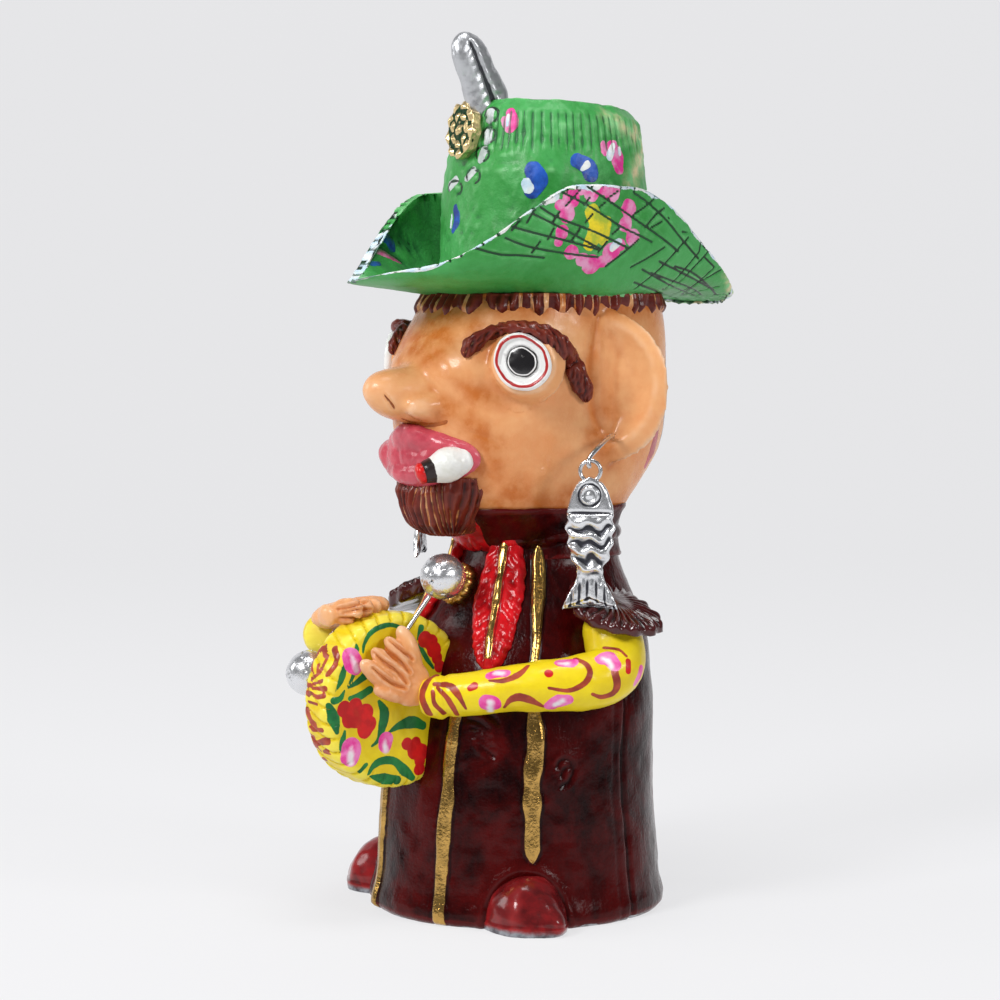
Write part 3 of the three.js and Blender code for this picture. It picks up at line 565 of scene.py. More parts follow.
def foil(name, light, dark, gloss=0.28, crumple=0.3, depth=0.3, metallic=0.92):
    """Leaf metal over uneven clay: bright on the high parts, and darkened in the creases as painted shade,
    which on the rosette also gives its dark green detail.
    """
    maker = Maker(name)
    wide = maker.noise(5, 5.0, roughness=0.65, distortion=1.2)
    fine = maker.noise(1.1, 4.0, roughness=0.6)
    hollow = maker.attribute("hollow")
    # Painted shade: the creases and hollows are darkened towards the dark colour, and on the rosette this is
    # also its dark green detail.
    crease_shade_and_detail = (hollow * 2.2 + (wide - 0.5) * 0.5 + (fine - 0.5) * 0.35).ramp(0.02, 0.02 + depth)
    worn = maker.noise(2.2, 5.0, roughness=0.7).ramp(0.63, 0.72)
    colour = maker.mix(crease_shade_and_detail, maker.mix(worn * 0.35, light, dark), dark)
    maker.set(Base_Color=colour, Metallic=metallic, Roughness=gloss + (fine - 0.5) * 0.25 + crease_shade_and_detail * 0.2,
              Normal=maker.bump(wide * 0.6 + fine * 0.4, crumple))
    return maker.material


def finish(make, name, *values, **options):
    """The material of this name, made once."""
    return bpy.data.materials.get(name) or make(name, *values, **options)


def eye_glaze(name):
    """Black, white and red rings, by the attribute that holds each corner's distance from the middle."""
    maker = Maker(name)
    out = maker.attribute("ring") + (maker.noise(5.0, 3.0) - 0.5) * 1.7
    colour = BLACK
    steps = [(4.8, WHITE), (5.2, BLACK), (5.75, WHITE), (8.35, (0.42, 0.02, 0.02)), (9.4, WHITE)]
    for radius, tone in steps:
        colour = maker.mix(out.ramp(radius - 0.12, radius + 0.12), colour, tone)
    wear = maker.noise(1.5, 5.0).ramp(0.64, 0.7) * 0.4
    colour = maker.mix(wear, colour, (0.35, 0.34, 0.33))
    maker.set(Base_Color=colour, Roughness=0.22 + (maker.noise(1.0) - 0.5) * 0.1, Coat_Weight=0.6,
              Coat_Roughness=0.1, Normal=maker.bump(maker.noise(0.8), 0.04))
    return maker.material


# Sizes and colours that a user would change


def length(name, text, default):
    return FloatProperty(name=name, description=text, default=default, unit="LENGTH", min=0.0001, precision=5)


def colour(name, text, default):
    return FloatVectorProperty(name=name, description=text, default=default, subtype="COLOR", size=3, min=0,
                               max=1)


class FigurineSizes(bpy.types.PropertyGroup):
    robe_radius: length("Robe radius", "Radius of the robe's base", 0.0504)
    strip_width: length("Strip width", "Width of the gold strips on the robe", 0.0065)
    drum_radius: length("Drum radius", "Radius of the disc drum", 0.0297)
    drum_thickness: length("Drum thickness", "Thickness of the disc drum", 0.015)
    eye_radius: length("Eye radius", "Outer radius of the painted eye", 0.0103)
    ball_radius: length("Ball radius", "Radius of the drumstick balls", 0.0077)
    rod_radius: length("Rod radius", "Radius of the drumstick and earring wire", 0.0008)
    brim_thickness: length("Brim thickness", "Thickness of the hat's brim", 0.003)
    fish_length: length("Fish length", "Length of each fish", 0.044)


class FigurineColours(bpy.types.PropertyGroup):
    robe: colour("Robe", "Dark maroon of the robe", (0.007, 0.0006, 0.0007))
    robe_red: colour("Robe red", "Red that shows through the robe's glaze", (0.085, 0.003, 0.003))
    shoe: colour("Shoe", "Red of the shoes", (0.28, 0.012, 0.014))
    scarf: colour("Scarf", "Red of the scarf", (0.70, 0.008, 0.014))
    gold: colour("Gold", "Gold paint", (0.62, 0.37, 0.10))
    silver: colour("Silver", "Silver leaf", (0.78, 0.79, 0.81))
    yellow: colour("Yellow", "Yellow of drum and sleeves", (0.86, 0.68, 0.012))
    pink: colour("Pink", "Pink of the painted buds", (0.78, 0.035, 0.30))
    leaf: colour("Leaf green", "Green of the painted leaves", (0.008, 0.13, 0.035))
    flower: colour("Flower red", "Red of the painted flowers", (0.66, 0.012, 0.012))
    brown: colour("Brown", "Brown of the painted strokes", (0.26, 0.035, 0.022))
    skin: colour("Skin", "Peach glaze", (0.84, 0.44, 0.20))
    # The skin shade is the darker orange of the hair's strands and also the colour of the painted shade on
    # the face and hands.
    skin_shade: colour("Skin shade", "Darker orange of the glaze", (0.55, 0.155, 0.03))
    hair: colour("Hair", "Maroon of hair, brows and beard", (0.075, 0.008, 0.006))
    lip: colour("Lips", "Pink of the lips", (0.62, 0.085, 0.12))
    hat: colour("Hat", "Green of the hat", (0.028, 0.27, 0.040))
    # The hat light colour is the light green of the speckle and also the painted highlight on the hat's
    # ridges.
    hat_light: colour("Hat light", "Light green brushed over the hat", (0.24, 0.62, 0.26))


def mm(name):
    return getattr(bpy.context.scene.figurine_sizes, name) / MM


def tint(name):
    return tuple(getattr(bpy.context.scene.figurine_colours, name))


def robe_finish():
    gold = tint("gold")
    worn = tuple(0.68 * part for part in gold)
    layers = [("red", tint("scarf"), (0.36, 0.008, 0.012), False, 0.5), ("gold", gold, worn, True, 0.3),
              ("bare", (0.42, 0.43, 0.45), (0.12, 0.10, 0.10), False, 0.6)]
    # The two colours after the coat weight are the painted shade for the recesses and the painted highlight
    # for the ridges.
    return finish(clay_paint, "robe_glaze", tint("robe"), tint("robe_red"), layers, 13, 0.13, 0.3,
                  (0.006, 0.001, 0.001), (0.10, 0.006, 0.006), 0.5, (1, 1, 0.35), relief=0.45, amount=0.85,
                  shine=0.08)


def skin_finish():
    # The shade layer is painted shade round the face's features and in the finger grooves.
    layers = [("shade", tint("skin_shade"), (0.66, 0.26, 0.09), False, SOFT_SHADE),
              ("crease", (0.36, 0.09, 0.02), (0.20, 0.04, 0.012), False, 0.2),
              ("rose", tint("lip"), (0.45, 0.10, 0.10), False, 0.9),
              ("maroon", tint("robe"), tint("robe"), False, 0.4)]
    # The two colours after the coat weight are the painted shade for the recesses and the painted highlight
    # for the ridges.
    return finish(clay_paint, "skin_glaze", tint("skin"), (0.74, 0.29, 0.105), layers, 22, 0.26, 0.3,
                  tint("skin_shade"), (0.92, 0.62, 0.40), 0.45, relief=0.12)


def yellow_finish():
    layers = [("brown", tint("brown"), (0.45, 0.07, 0.03), False, 0.2),
              ("green", tint("leaf"), (0.02, 0.22, 0.05), False, 0.2),
              ("red", tint("flower"), (0.48, 0.008, 0.01), False, 0.25),
              ("pink", tint("pink"), (0.86, 0.22, 0.52), False, 0.25),
              ("white", (0.88, 0.62, 0.76), WHITE, False, FADED)]
    # The two colours after the coat weight are the painted shade for the recesses and the painted highlight
    # for the ridges.
    return finish(clay_paint, "yellow_paint", tint("yellow"), (0.72, 0.50, 0.012), layers, 12, 0.34, 0.3,
                  (0.34, 0.17, 0.01), (0.92, 0.80, 0.10), 0.5, relief=0.06, amount=0.8)


def hair_finish():
    layers = [("orange", tint("skin"), tint("skin_shade"), False, 0.25)]
    # The two colours after the coat weight are the painted shade for the recesses and the painted highlight
    # for the ridges.
    return finish(clay_paint, "hair_paint", tint("hair"), (0.17, 0.022, 0.012), layers, 6, 0.3, 0.3,
                  (0.02, 0.004, 0.004), (0.20, 0.035, 0.02), 0.4)


# Pieces


def sided(name, side):
    return name + ("_left" if side > 0 else "_right")


def small_part(name, side, form, material):
    """A piece that stands for a solid of its own."""
    piece(sided(name + "_detail", side), form, material, None, sided(name, side))


def robe_radius(height):
    return mm("robe_radius") * table_at(ROBE_PROFILE, np.clip(height / ROBE_HEIGHT, 0, 1))[0]


def robe_back(height):
    return ROBE_LEAN * ramp(height / ROBE_HEIGHT, 0.3, 1)


def on_robe(degrees, height, rise=0.0):
    return around(np.radians(degrees), robe_radius(height) + rise, height, robe_back(height))


# Marks are half widths in mm along a stroke, and the stroke's points in the view

SCRATCHES = [((0.1, 0.5, 0.2),
              [(468 + 3 * k, 722 + 8 * k), (478 + 2 * k, 725 + 9 * k), (488 + 2 * k, 733 + 9 * k)])
             for k in range(4)] + [((0.1, 0.4, 0.1), [(484, 715), (493, 720), (499, 728)])]
SWIRL = [(0.25, [(558, 771), (560, 765), (566, 762), (572, 766), (574, 775), (570, 785), (563, 790)]),
         (0.2, [(562, 780), (564, 773), (568, 771)])]


class MakeRobe(bpy.types.Operator):
    """Makes the robe with its gold strips, seams and finger marks"""

    bl_idname = "figurine.robe"
    bl_label = "Robe"

    def execute(self, context):
        height = rows_of(170, 0, ROBE_HEIGHT + 2)
        angle = turns(330)
        degrees = np.degrees(angle)
        radius = robe_radius(height)
        flat = on_robe(degrees, height)
        rise = hand_made(flat, 3, 17, 0.6)
        gold = np.full(rise.shape, FAR)
        upright = flat * (0, 0, 1)
        for at, low, top in STRIPS:
            high = top * ROBE_HEIGHT
            for side in (-1, 1):
                wander = 0.8 * lumps(upright + 40 * at * side, 11, 5)
                half = mm("strip_width") * (1 + 0.14 * lumps(upright, 6, at))
                if at == INNER_STRIP:
                    wander = wander - 1.2 * ramp(height, 0, 75)
                    half = 0.36 * half
                else:
                    wander = wander + 2.8 * ramp(height, 62, 90)
                    waist, chest = lerp(1, 0.45, ramp(height, 64, 84)), lerp(1, 1.9, ramp(height, 90, 112))
                    half = 0.44 * half * waist * chest
                    half = half * np.sqrt(ramp(height, low - 0.5, low + 5))
                half = half * np.sqrt(ramp(high - height, 0, 8))
                across = np.radians(degrees - side * at) * radius + wander
                gap = np.maximum(np.abs(across) - half, np.maximum(low - height, height - high))
                gold = np.minimum(gold, gap)
                rise += 1.3 * ramp(-gap, -0.25, 0.8) - 0.28 * bell(across / 0.5) * ramp(-gap, 0, 1)
                rise -= 0.35 * bell((gap - 0.5) / 0.5)
        for at in SEAMS:
            for side in (-1, 1):
                across = np.radians(degrees - side * at) * radius + 0.6 * lumps(upright, 14, at)
                rise -= (0.3 if at == FAINT_SEAM else 1.1) * bell(across / 0.8) * ramp(height, 118, 100)
        for side in (-1, 1):
            across = np.radians(degrees - side * SHOE_RISE) * radius
            ring = np.hypot(across / 13.6, height / 17.6)
            rise += 0.9 * bell((ring - 1.12) * 8) - 0.4 * bell((ring - 1.0) * 12)
        rise += 0.8 * bell((height - 4) / 4) - 1.2 * ramp(height, 1.6, 0)
        form = shell(around(angle, radius + rise, height, robe_back(height)))
        scratch = form.marks(SCRATCHES + SWIRL)
        form.push(-0.75 * ramp(scratch, 0.9, -0.3) + 0.2 * bell((scratch - 1.3) / 0.6))
        form.corners[:, 2] = np.maximum(form.corners[:, 2], 0)
        paints = {"gold": on_corners(gold, rise.shape, FAR, FAR),
                  "bare": on_corners(height - 0.5 - 1.5 * lumps(flat, 8, 8), rise.shape, -5, FAR)}
        piece("robe", form, robe_finish(), paints)
        return {"FINISHED"}


class MakeShoes(bpy.types.Operator):
    """Makes the two shoes that look out from under the robe"""

    bl_idname = "figurine.shoes"
    bl_label = "Shoes"

    def execute(self, context):
        layers = [("sole", (0.30, 0.31, 0.34), (0.05, 0.04, 0.05), False, FADED)]
        # The two colours after the coat weight are the painted shade for the recesses and the painted
        # highlight for the ridges.
        red = finish(clay_paint, "shoe_glaze", tint("shoe"), (0.07, 0.005, 0.006), layers, 9, 0.18, 0.7,
                     (0.03, 0.004, 0.005), (0.42, 0.04, 0.04), 0.5)
        for side in (-1, 1):
            degrees, toe_degrees, out = (57, 92, -1.6) if side > 0 else (-61, -82, 1.2)
            points = egg((12.5, 17.5, 14.5), 62, 72)
            points[..., 2] *= lerp(1, 0.5, ramp(-points[..., 1], 2, 17))
            points[..., 0] *= lerp(1, 0.66, ramp(-points[..., 1], 5, 17))
            place = around(math.radians(degrees), mm("robe_radius") + out, 3.6)
            form = shell(spun(points, math.radians(toe_degrees)) + place)
            form.knead(20 + side, 9, 0.6)
            low = form.corners[:, 2]
            form.push(0.5 * ramp(low, 3.4, 2.6))
            form.corners[:, 2] = np.maximum(form.corners[:, 2], 0)
            sole = low - 1.6 - 0.9 * lumps(form.corners, 6, 4)
            piece(sided("shoe", side), form, red, {"sole": sole})
        return {"FINISHED"}


class MakeScarf(bpy.types.Operator):
    """Makes the collar, the scarf's knot and two leaf-shaped ends, and the medallion"""

    bl_idname = "figurine.scarf"
    bl_label = "Scarf"

    def execute(self, context):
        gold = tint("gold")
        gold_finish = finish(foil, "gold_paint", gold, (0.10, 0.05, 0.012), 0.3, 0.15, 0.25)
        layers = [("gold", gold, tuple(0.4 * part for part in gold), True, 0.25)]
        # The two colours after the coat weight are the painted shade for the recesses and the painted
        # highlight for the ridges.
        red = finish(clay_paint, "scarf_glaze", tint("scarf"), (0.36, 0.005, 0.007), layers, 7, 0.2, 0.35,
                     (0.16, 0.003, 0.004), (0.78, 0.02, 0.03), 0.45, (1, 1, 0.5), shine=0.12)
        angle = turns(200).T
        ring = turns(26)
        radius = robe_radius(np.array([[COLLAR_HEIGHT]]))
        roll = lerp(4.2, 2.6, ramp(np.abs(np.degrees(angle)), 34, 60))
        back = robe_back(COLLAR_HEIGHT)
        rim = around(angle, radius + roll * np.cos(ring), COLLAR_HEIGHT + roll * np.sin(ring), back)
        collar = loop_form(rim)
        collar.knead(31, 8, 0.5)
        paint = {"red": 0.5 * (collar.from_front(back) - 38) + 2 * lumps(collar.corners, 5, 2)}
        piece("collar", collar, robe_finish(), paint)

        height = rows_of(30, 121, 138.6)
        sizes = table_at(HEAD_SECTIONS, (height - ROBE_HEIGHT) / HEAD_HEIGHT)
        under_jaw = section_radius(sizes, turns(170), HEAD_SQUARENESS) + lerp(-3, 0.9, ramp(height, 120, 127))
        neck = np.maximum(robe_radius(height) + 0.4, under_jaw)
        form = shell(around(turns(170), neck, height, 9.5))
        form.knead(34, 9, 0.7)
        paint = {"red": 0.5 * (form.from_front(back) - 18) + 1.5 * lumps(form.corners, 5, 2)}
        piece("neck", form, robe_finish(), paint)

        knot = shell(egg((8, 5, 6), 36, 52) + on_robe(0, COLLAR_HEIGHT, 1))
        x, z = knot.corners[:, 0], knot.corners[:, 2] - COLLAR_HEIGHT
        knot.push(hand_made(knot.corners, 33, 5, 0.5) - 0.7 * bell((x + 0.35 * z) / 0.8))
        piece("scarf_knot", knot, red)

        for side in (-1, 1):
            self.end(side, red)
        self.medallion(gold_finish)
        return {"FINISHED"}

    @staticmethod
    def end(side, red):
        """A leaf-shaped end with a gold rib and scored veins."""
        rows, columns, length = 100, 90, 44
        heights = np.linspace(COLLAR_HEIGHT - length, COLLAR_HEIGHT, 9)
        path = [on_robe(side * lerp(35.5, 28.5, (h - heights[0]) / length), h, 0.3) for h in heights]
        wide = np.cross(around(math.radians(side * 33), 1, 0), (0, 0, 1))

        def outline(share):
            return 3.6 * share * (1.05 - share)

        def leaf(share):
            return 8.5 * np.sqrt(np.clip(0.02 + outline(share), 0, 1)), 2.6 * round_ends(share, 0.08, 0.3)

        form = shell(swept(path, leaf, rows, columns, wide))
        share = on_corners(rows_of(rows), (rows, columns), 0, 1)
        z = form.corners[:, 2]
        middle = np.stack([np.interp(z, heights, column) for column in np.transpose(path)], -1)
        signed = (form.corners - middle) @ unit(wide)
        across = np.abs(signed)
        veins = np.sin((z * 0.9 + across * 0.8) * 2.0)
        rib = across - 1.25 - 0.35 * lumps(form.corners, 4, 9)
        rise = (0.13 * veins + 0.4 * lumps(form.corners, 2.6, 38)) * ramp(across, 1.6, 2.6)
        rise += 0.5 * ramp(-rib, -0.2, 0.5) - 0.4 * bell((rib - 0.4) / 0.5)
        rise += 0.5 * bell((across - 6.6 * np.sqrt(np.clip(outline(share), 0, 1))) / 1.1)
        form.push(rise * ramp(share, 0, 0.1) + hand_made(form.corners, 36 + side, 6, 0.45))
        piece(sided("scarf_end", side), form, red, {"gold": np.maximum(rib, (0.08 - share) * 40)})

    @staticmethod
    def medallion(gold):
        petals, face, edge = 11, 32, 8
        ring = turns(112)
        radial = out_and_back(face, edge, 0.6)
        lobe = np.abs(np.cos(ring * petals / 2)) ** 0.6
        out = 7.5 * radial * (1 - 0.14 * (1 - lobe) * radial ** 3)
        up = 1.5 + 1.1 * bell((radial - 0.82) * 6) * lobe
        up = up + 1.3 * bell(radial / 0.3) - 0.5 * bell((radial - 0.45) * 8)
        up[face:] = -2.5
        form = shell(aimed(disc(out, ring, up), (0, -1, 0.4), on_robe(0, 112, 1.6)))
        piece("medallion", form, gold)


def loop_form(points):
    """A closed ring form from rows that go round it and columns round its section."""
    rows, columns = points.shape[:2]
    i = np.arange(rows)[:, None] * columns
    j = np.arange(columns)[None, :]
    k = (j + 1) % columns
    after = (i + columns) % (rows * columns)
    return Form(points.reshape(-1, 3), stacked(i + j, i + k, after + k, after + j).reshape(-1, 4))


DRUM_GREEN = [
    ((0.4, 0.9, 0.9, 0.6),
     [(362, 654), (363.4, 645.3), (369, 635.3), (377.7, 629), (389, 626), (398, 628), (403, 629)]),
    ((0.4, 1.2), [(417, 641), (419, 634), (420.6, 629)]),
    ((0.9, 0.9, 0.6), [(419, 646.7), (424.8, 658), (432.7, 669.6)]),
    ((0.6, 1.1), [(355.6, 646.7), (355.6, 651)]),
    ((0.2, 0.9, 1.3, 0.8), [(334, 694), (339, 684), (344, 668)]),
    ((0.2, 1.0), [(346.3, 688), (350.6, 681), (353.4, 674)]),
    ((0.3, 1.0, 1.4), [(346.3, 690.3), (354.8, 685.3), (364, 677.5)]),
    ((0.9, 1.4, 1.3), [(349, 701), (359, 698), (369, 691.7)]),
    ((1.3, 0.9, 0.3), [(332.7, 703), (339, 701), (343.4, 692.5)]),
    ((1.0, 2.3, 0.9), [(327, 708), (332, 719.6), (335.6, 735)]),
    ((0.5, 1.2, 0.4), [(343.4, 734), (341.3, 744), (338.4, 755)]),
    ((0.7, 2.0, 1.8, 0.9, 0.4), [(378.4, 704), (383.4, 715), (381.3, 729.6), (376.3, 744), (370.6, 749)]),
    ((0.4, 1.4, 2.2, 1.5), [(387.7, 735), (399, 728), (412, 724.6), (422, 728)]),
    (0.8, [(357.7, 774.6), (364.8, 768)]),
    ((0.5, 1.2, 1.4, 1.4, 2.0, 1.0),
     [(367, 778), (372, 769.6), (380.6, 764), (392, 764), (400.6, 771), (412, 782)]),
    ((0.5, 2.0, 1.6), [(369, 780), (383.4, 782.5), (396, 784)]),
]
DRUM_RED = [(2.9, [place]) for place in
            [(343.4, 711.7), (354, 709), (364.8, 714.6), (367.7, 726.7), (363.4, 733), (353.4, 722.5),
             (347.7, 722.5), (424.8, 641), (430.6, 644), (433.4, 651), (413.4, 754), (420.6, 755)]]
DRUM_RED += [(2.2, [place]) for place in
             [(406.3, 746.7), (414.8, 746), (419, 764), (418.4, 772.5), (436.3, 659.6), (439, 668)]]
DRUM_PINK = [((3.3, 3.6, 2.4), [(350, 659), (352, 664), (355, 670)]), ((2.9, 2.6), [(385, 743), (384, 748)]),
             ((3.9, 3.5), [(350, 752), (349, 760)])]
DRUM_WHITE = [
    ((0.5, 0.9, 0.7), [(350, 657), (353, 664), (355.6, 672.5)]),
    ((0.4, 1.1), [(384, 743), (384.8, 753)]),
    ((0.5, 1.3, 1.0), [(350, 751), (349, 758), (349, 766)]),
]
DRUM_BROWN = [
    (1.1, [(323.4, 651), (324, 656.7)]), (1.2, [(333.4, 649.6), (334.8, 656.7)]),
    ((0.9, 0.8), [(326.3, 658), (323.4, 665), (318.4, 674), (312, 679.6)]),
    (0.8, [(317.7, 666.7), (316.3, 674)]), (0.9, [(336.3, 658), (334, 666.7), (326.3, 676.7)]),
    ((0.3, 0.8), [(305.6, 689), (312, 686), (320.6, 683)]),
    ((0.4, 1.0), [(310.6, 690.3), (323.4, 691)]), ((0.5, 1.0), [(308.4, 694), (314.8, 699), (322, 698)]),
    (0.5, [(307, 704), (315.6, 706.7)]), ((1.4, 1.2), [(304.8, 712.5), (309, 722.5), (313.4, 728)]),
    (0.8, [(310.6, 732.5), (320.6, 733)]), ((0.8, 1.4), [(310.6, 748), (320.6, 745), (325.6, 744)]),
    (1.3, [(313.4, 751), (327.7, 754)]), (1.1, [(316.3, 758), (323.4, 762.5)]),
]
DRUM_MARKS = {"green": DRUM_GREEN, "red": DRUM_RED, "pink": DRUM_PINK, "white": DRUM_WHITE,
              "brown": DRUM_BROWN}


class MakeDrum(bpy.types.Operator):
    """Makes the disc drum with its laced edge and painted flowers"""

    bl_idname = "figurine.drum"
    bl_label = "Drum"

    def execute(self, context):
        radius, half = mm("drum_radius"), mm("drum_thickness") / 2
        soft, laces = 3.5, 17
        bend = np.linspace(0, math.pi / 2, 10)
        flat_part = np.linspace(0.4, radius - soft, 40)
        profile = [(out, -half) for out in flat_part]
        profile += [(radius - soft + soft * math.sin(b), -half + soft - soft * math.cos(b)) for b in bend[1:]]
        profile += [(radius, x) for x in np.linspace(soft - half, half - soft, 12)[1:-1]]
        profile += [(radius - soft + soft * math.cos(b), half - soft + soft * math.sin(b)) for b in bend[:-1]]
        profile += [(out, half) for out in flat_part[::-1]]
        profile = np.array(profile)[:, :, None]
        angle = turns(340)
        out, x = profile[:, 0], profile[:, 1]
        edge = ramp(out, radius - 6, radius - 1)
        out = out * (1 - 0.012 * edge * (1 - np.abs(np.cos(angle * laces))))
        points = stacked(x, out * np.sin(angle), out * np.cos(angle)) + DRUM_CENTRE
        form = shell(points)
        shape = points.shape[:2]
        groove = on_corners(np.abs(np.sin(angle * laces + x * 0.28)), shape, 1, 1)
        lacing = 0.75 * on_corners(edge, shape) * ramp(groove, 0.22, 0.04)
        ridge = 0.15 * bell((on_corners(out, shape) - radius + 7) / 1.4)
        form.push(hand_made(form.corners, 41, 12, 0.45) - lacing + ridge)
        paints = {name: form.marks(rows) for name, rows in DRUM_MARKS.items()}
        far, near = form.twins(-2)
        for gap in paints.values():
            gap[far] = np.minimum(gap[far], gap[near])
        piece("drum", form, yellow_finish(), paints)
        return {"FINISHED"}


SLEEVE_MARKS = {
    "pink": [
        ((1.7, 2.0, 1.6), [(490, 677), (498, 675), (506, 675)]), ((3.3, 3.1), [(488, 706), (492, 706)]),
        ((2.3, 2.7, 2.0), [(551, 708), (558, 704), (568, 702)]), ((2.5, 2.3), [(562, 664), (572, 664)]),
        ((2.0, 2.9, 2.4), [(601, 661), (608, 659), (615, 666)]), (1.7, [(637, 684), (642, 671)]),
    ],
    "white": [
        (0.9, [(495, 675), (503, 675)]), (1.0, [(490.5, 705), (490.5, 713)]),
        (0.8, [(561, 665), (569, 665)]), (0.8, [(556, 707), (563, 703)]),
        (0.9, [(604, 660), (611, 664), (612, 669)]),
    ],
    "red": [((1.1, 1.4), [(470, 690), (474, 688)]), (1.5, [(549, 675)]),
            ((1.0, 1.3, 1.0), [(629, 663), (629, 673)])],
    "brown": [
        ((0.4, 0.8, 1.3, 0.8), [(489, 682.5), (504, 682.5), (519, 676), (528, 667.5)]),
        ((0.4, 1.4, 1.5, 0.6), [(504, 710), (512, 701), (524, 700), (544, 709)]),
        ((0.8, 1.1, 1.0, 0.7, 0.5),
         [(575.5, 660), (587, 666), (590.5, 676), (584, 686), (569, 692.5), (549, 690)]),
        ((1.4, 1.5, 1.0, 0.6), [(615.5, 674), (618, 686), (614, 695), (602, 699), (593, 696)]),
        (0.5, [(604, 649), (619, 651), (627, 657.5)]),
        (0.8, [(432, 694), (434, 706), (444, 716)]),
        ((0.6, 1.1, 0.8), [(437, 690), (447, 701), (457, 717.5)]),
        ((0.8, 1.3, 0.5), [(434, 686), (449, 687.5), (457, 696), (465.5, 711)]),
        (1.5, [(434, 676), (425, 686), (421, 700), (428, 716)]),
    ],
}
WRISTS = {1: DRUM_CENTRE + (15.5, 3, 1.6), -1: DRUM_CENTRE + (-20.7, -14, 24.4)}


def sleeve(side, rows, columns):
    wrist = WRISTS[side] - (0, 0, 3.5 if side < 0 else 0)
    elbow = 85
    out = float(robe_radius(elbow)) + 9.8
    middle = (elbow + wrist[2]) / 2
    reach = lerp(float(robe_radius(middle)), math.hypot(wrist[0], wrist[1]), 0.55)
    bends = [(91, out, elbow + 2), (76, out, elbow - 2.5), (52, reach, middle)]
    path = [on_robe(side * 88, 103.0, 7.3)]
    path += [around(math.radians(side * degrees), far, height) for degrees, far, height in bends] + [wrist]

    def size_at(share):
        return lerp(9.8, 6.9, ramp(share, 0.15, 1)) * round_ends(share, 0.06, 0.5)

    form = shell(swept(path, size_at, rows, columns))
    share = on_corners(rows_of(rows), (rows, columns), 0, 1)
    cuff = 0.5 * bell((share - 0.93) * 60) - 0.45 * bell((share - 0.9) * 70)
    return form.push(hand_made(form.corners, 52 - side, 10, 0.5) + cuff)


class MakeSleeves(bpy.types.Operator):
    """Makes the yellow sleeves with their painted buds, and the shoulder caps"""

    bl_idname = "figurine.sleeves"
    bl_label = "Sleeves"

    def execute(self, context):
        rows, columns = 190, 98
        near = sleeve(1, rows, columns)
        paints = {name: near.marks(marks) for name, marks in SLEEVE_MARKS.items()}
        piece("sleeve_left", near, yellow_finish(), paints)
        mirrored = {}
        for name, gap in paints.items():
            grid = gap[:-2].reshape(rows, columns)
            mirrored[name] = on_corners(grid[:, ::-1], grid.shape, *gap[-2:])
        piece("sleeve_right", sleeve(-1, rows, columns), yellow_finish(), mirrored)
        self.caps()
        return {"FINISHED"}

    @staticmethod
    def caps():
        """Toothed flaps that lie over the shoulders, scored with strands."""
        # The two colours after the coat weight are the painted shade for the recesses and the painted
        # highlight for the ridges.
        dark = finish(clay_paint, "cap_glaze", tint("robe"), (0.06, 0.004, 0.004), [], 10, 0.1, 1.0,
                      (0.01, 0.003, 0.003), (0.07, 0.012, 0.012), 0.4, relief=0.2, shine=0.3)
        height, tip, face, below = 112.0, 63.5, 50, 16
        inner = float(robe_radius(height)) - 2
        half_reach = (tip - inner) / 2
        ring = turns(220)
        radial = out_and_back(face, below, 0.02)
        top = np.concatenate([np.ones(face), np.zeros(below)])[:, None]
        teeth = 0.5 + 0.5 * np.cos(ring * 13)
        out = radial * (1 - 0.07 * (1 - teeth) * radial ** 4)
        x0, y0 = -out * np.cos(ring), out * np.sin(ring)
        x = inner + half_reach * (1 + x0)
        fall = 11.5 * np.clip((x - inner) / (2 * half_reach), 0, 2) ** 1.3 + 2.5 * y0 ** 2
        comb = np.sin(ring * 30 + 3 * lumps(stacked(x0 * 9, y0 * 9, 0 * x0), 4, 3))
        relief = 0.55 * comb * ramp(radial, 0.25, 0.7) + 0.9 * teeth * ramp(radial, 0.75, 1) - 0.4
        edge = 1.6 * (1 - np.sqrt(np.clip(1 - radial ** 6, 0, 1)))
        for side in (-1, 1):
            shift = 6.5 if side < 0 else 0
            under = -5 - 0.35 * shift + edge + 0 * relief
            z = height + 2.5 - 1.15 * fall - 0.65 * y0 + np.where(top > 0, relief - edge, under)
            y = float(robe_back(height)) - 2.5 - shift + 16 * y0
            form = shell(stacked(side * (x + 0.4 * shift), y, z))
            form.knead(61 + side, 6, 0.35)
            piece(sided("shoulder_cap", side), form, dark)


HAND_GROOVES = {
    1: [((0.3, 0.7, 0.3), [(389, 641.7), (399, 649.6), (412, 661)]),
        ((0.3, 0.8, 0.4), [(379, 645.3), (389, 655.3), (400.6, 664), (409, 674)]),
        ((0.3, 0.8, 0.4), [(372, 654), (383.4, 664), (397.7, 674), (406.3, 685.3)]),
        ((0.3, 0.8, 0.4), [(372, 669.6), (383.4, 679.6), (394.8, 686.7), (404.8, 690.3)])],
    -1: [((0.3, 0.8, 0.3), [(336.3, 610.3), (349, 608), (366.3, 602.5)]),
         ((0.3, 0.9, 0.4), [(342, 614), (356.3, 611), (370, 611)]),
         ((0.4, 1.2, 0.5), [(339, 619.6), (352, 621), (364, 623)])],
}


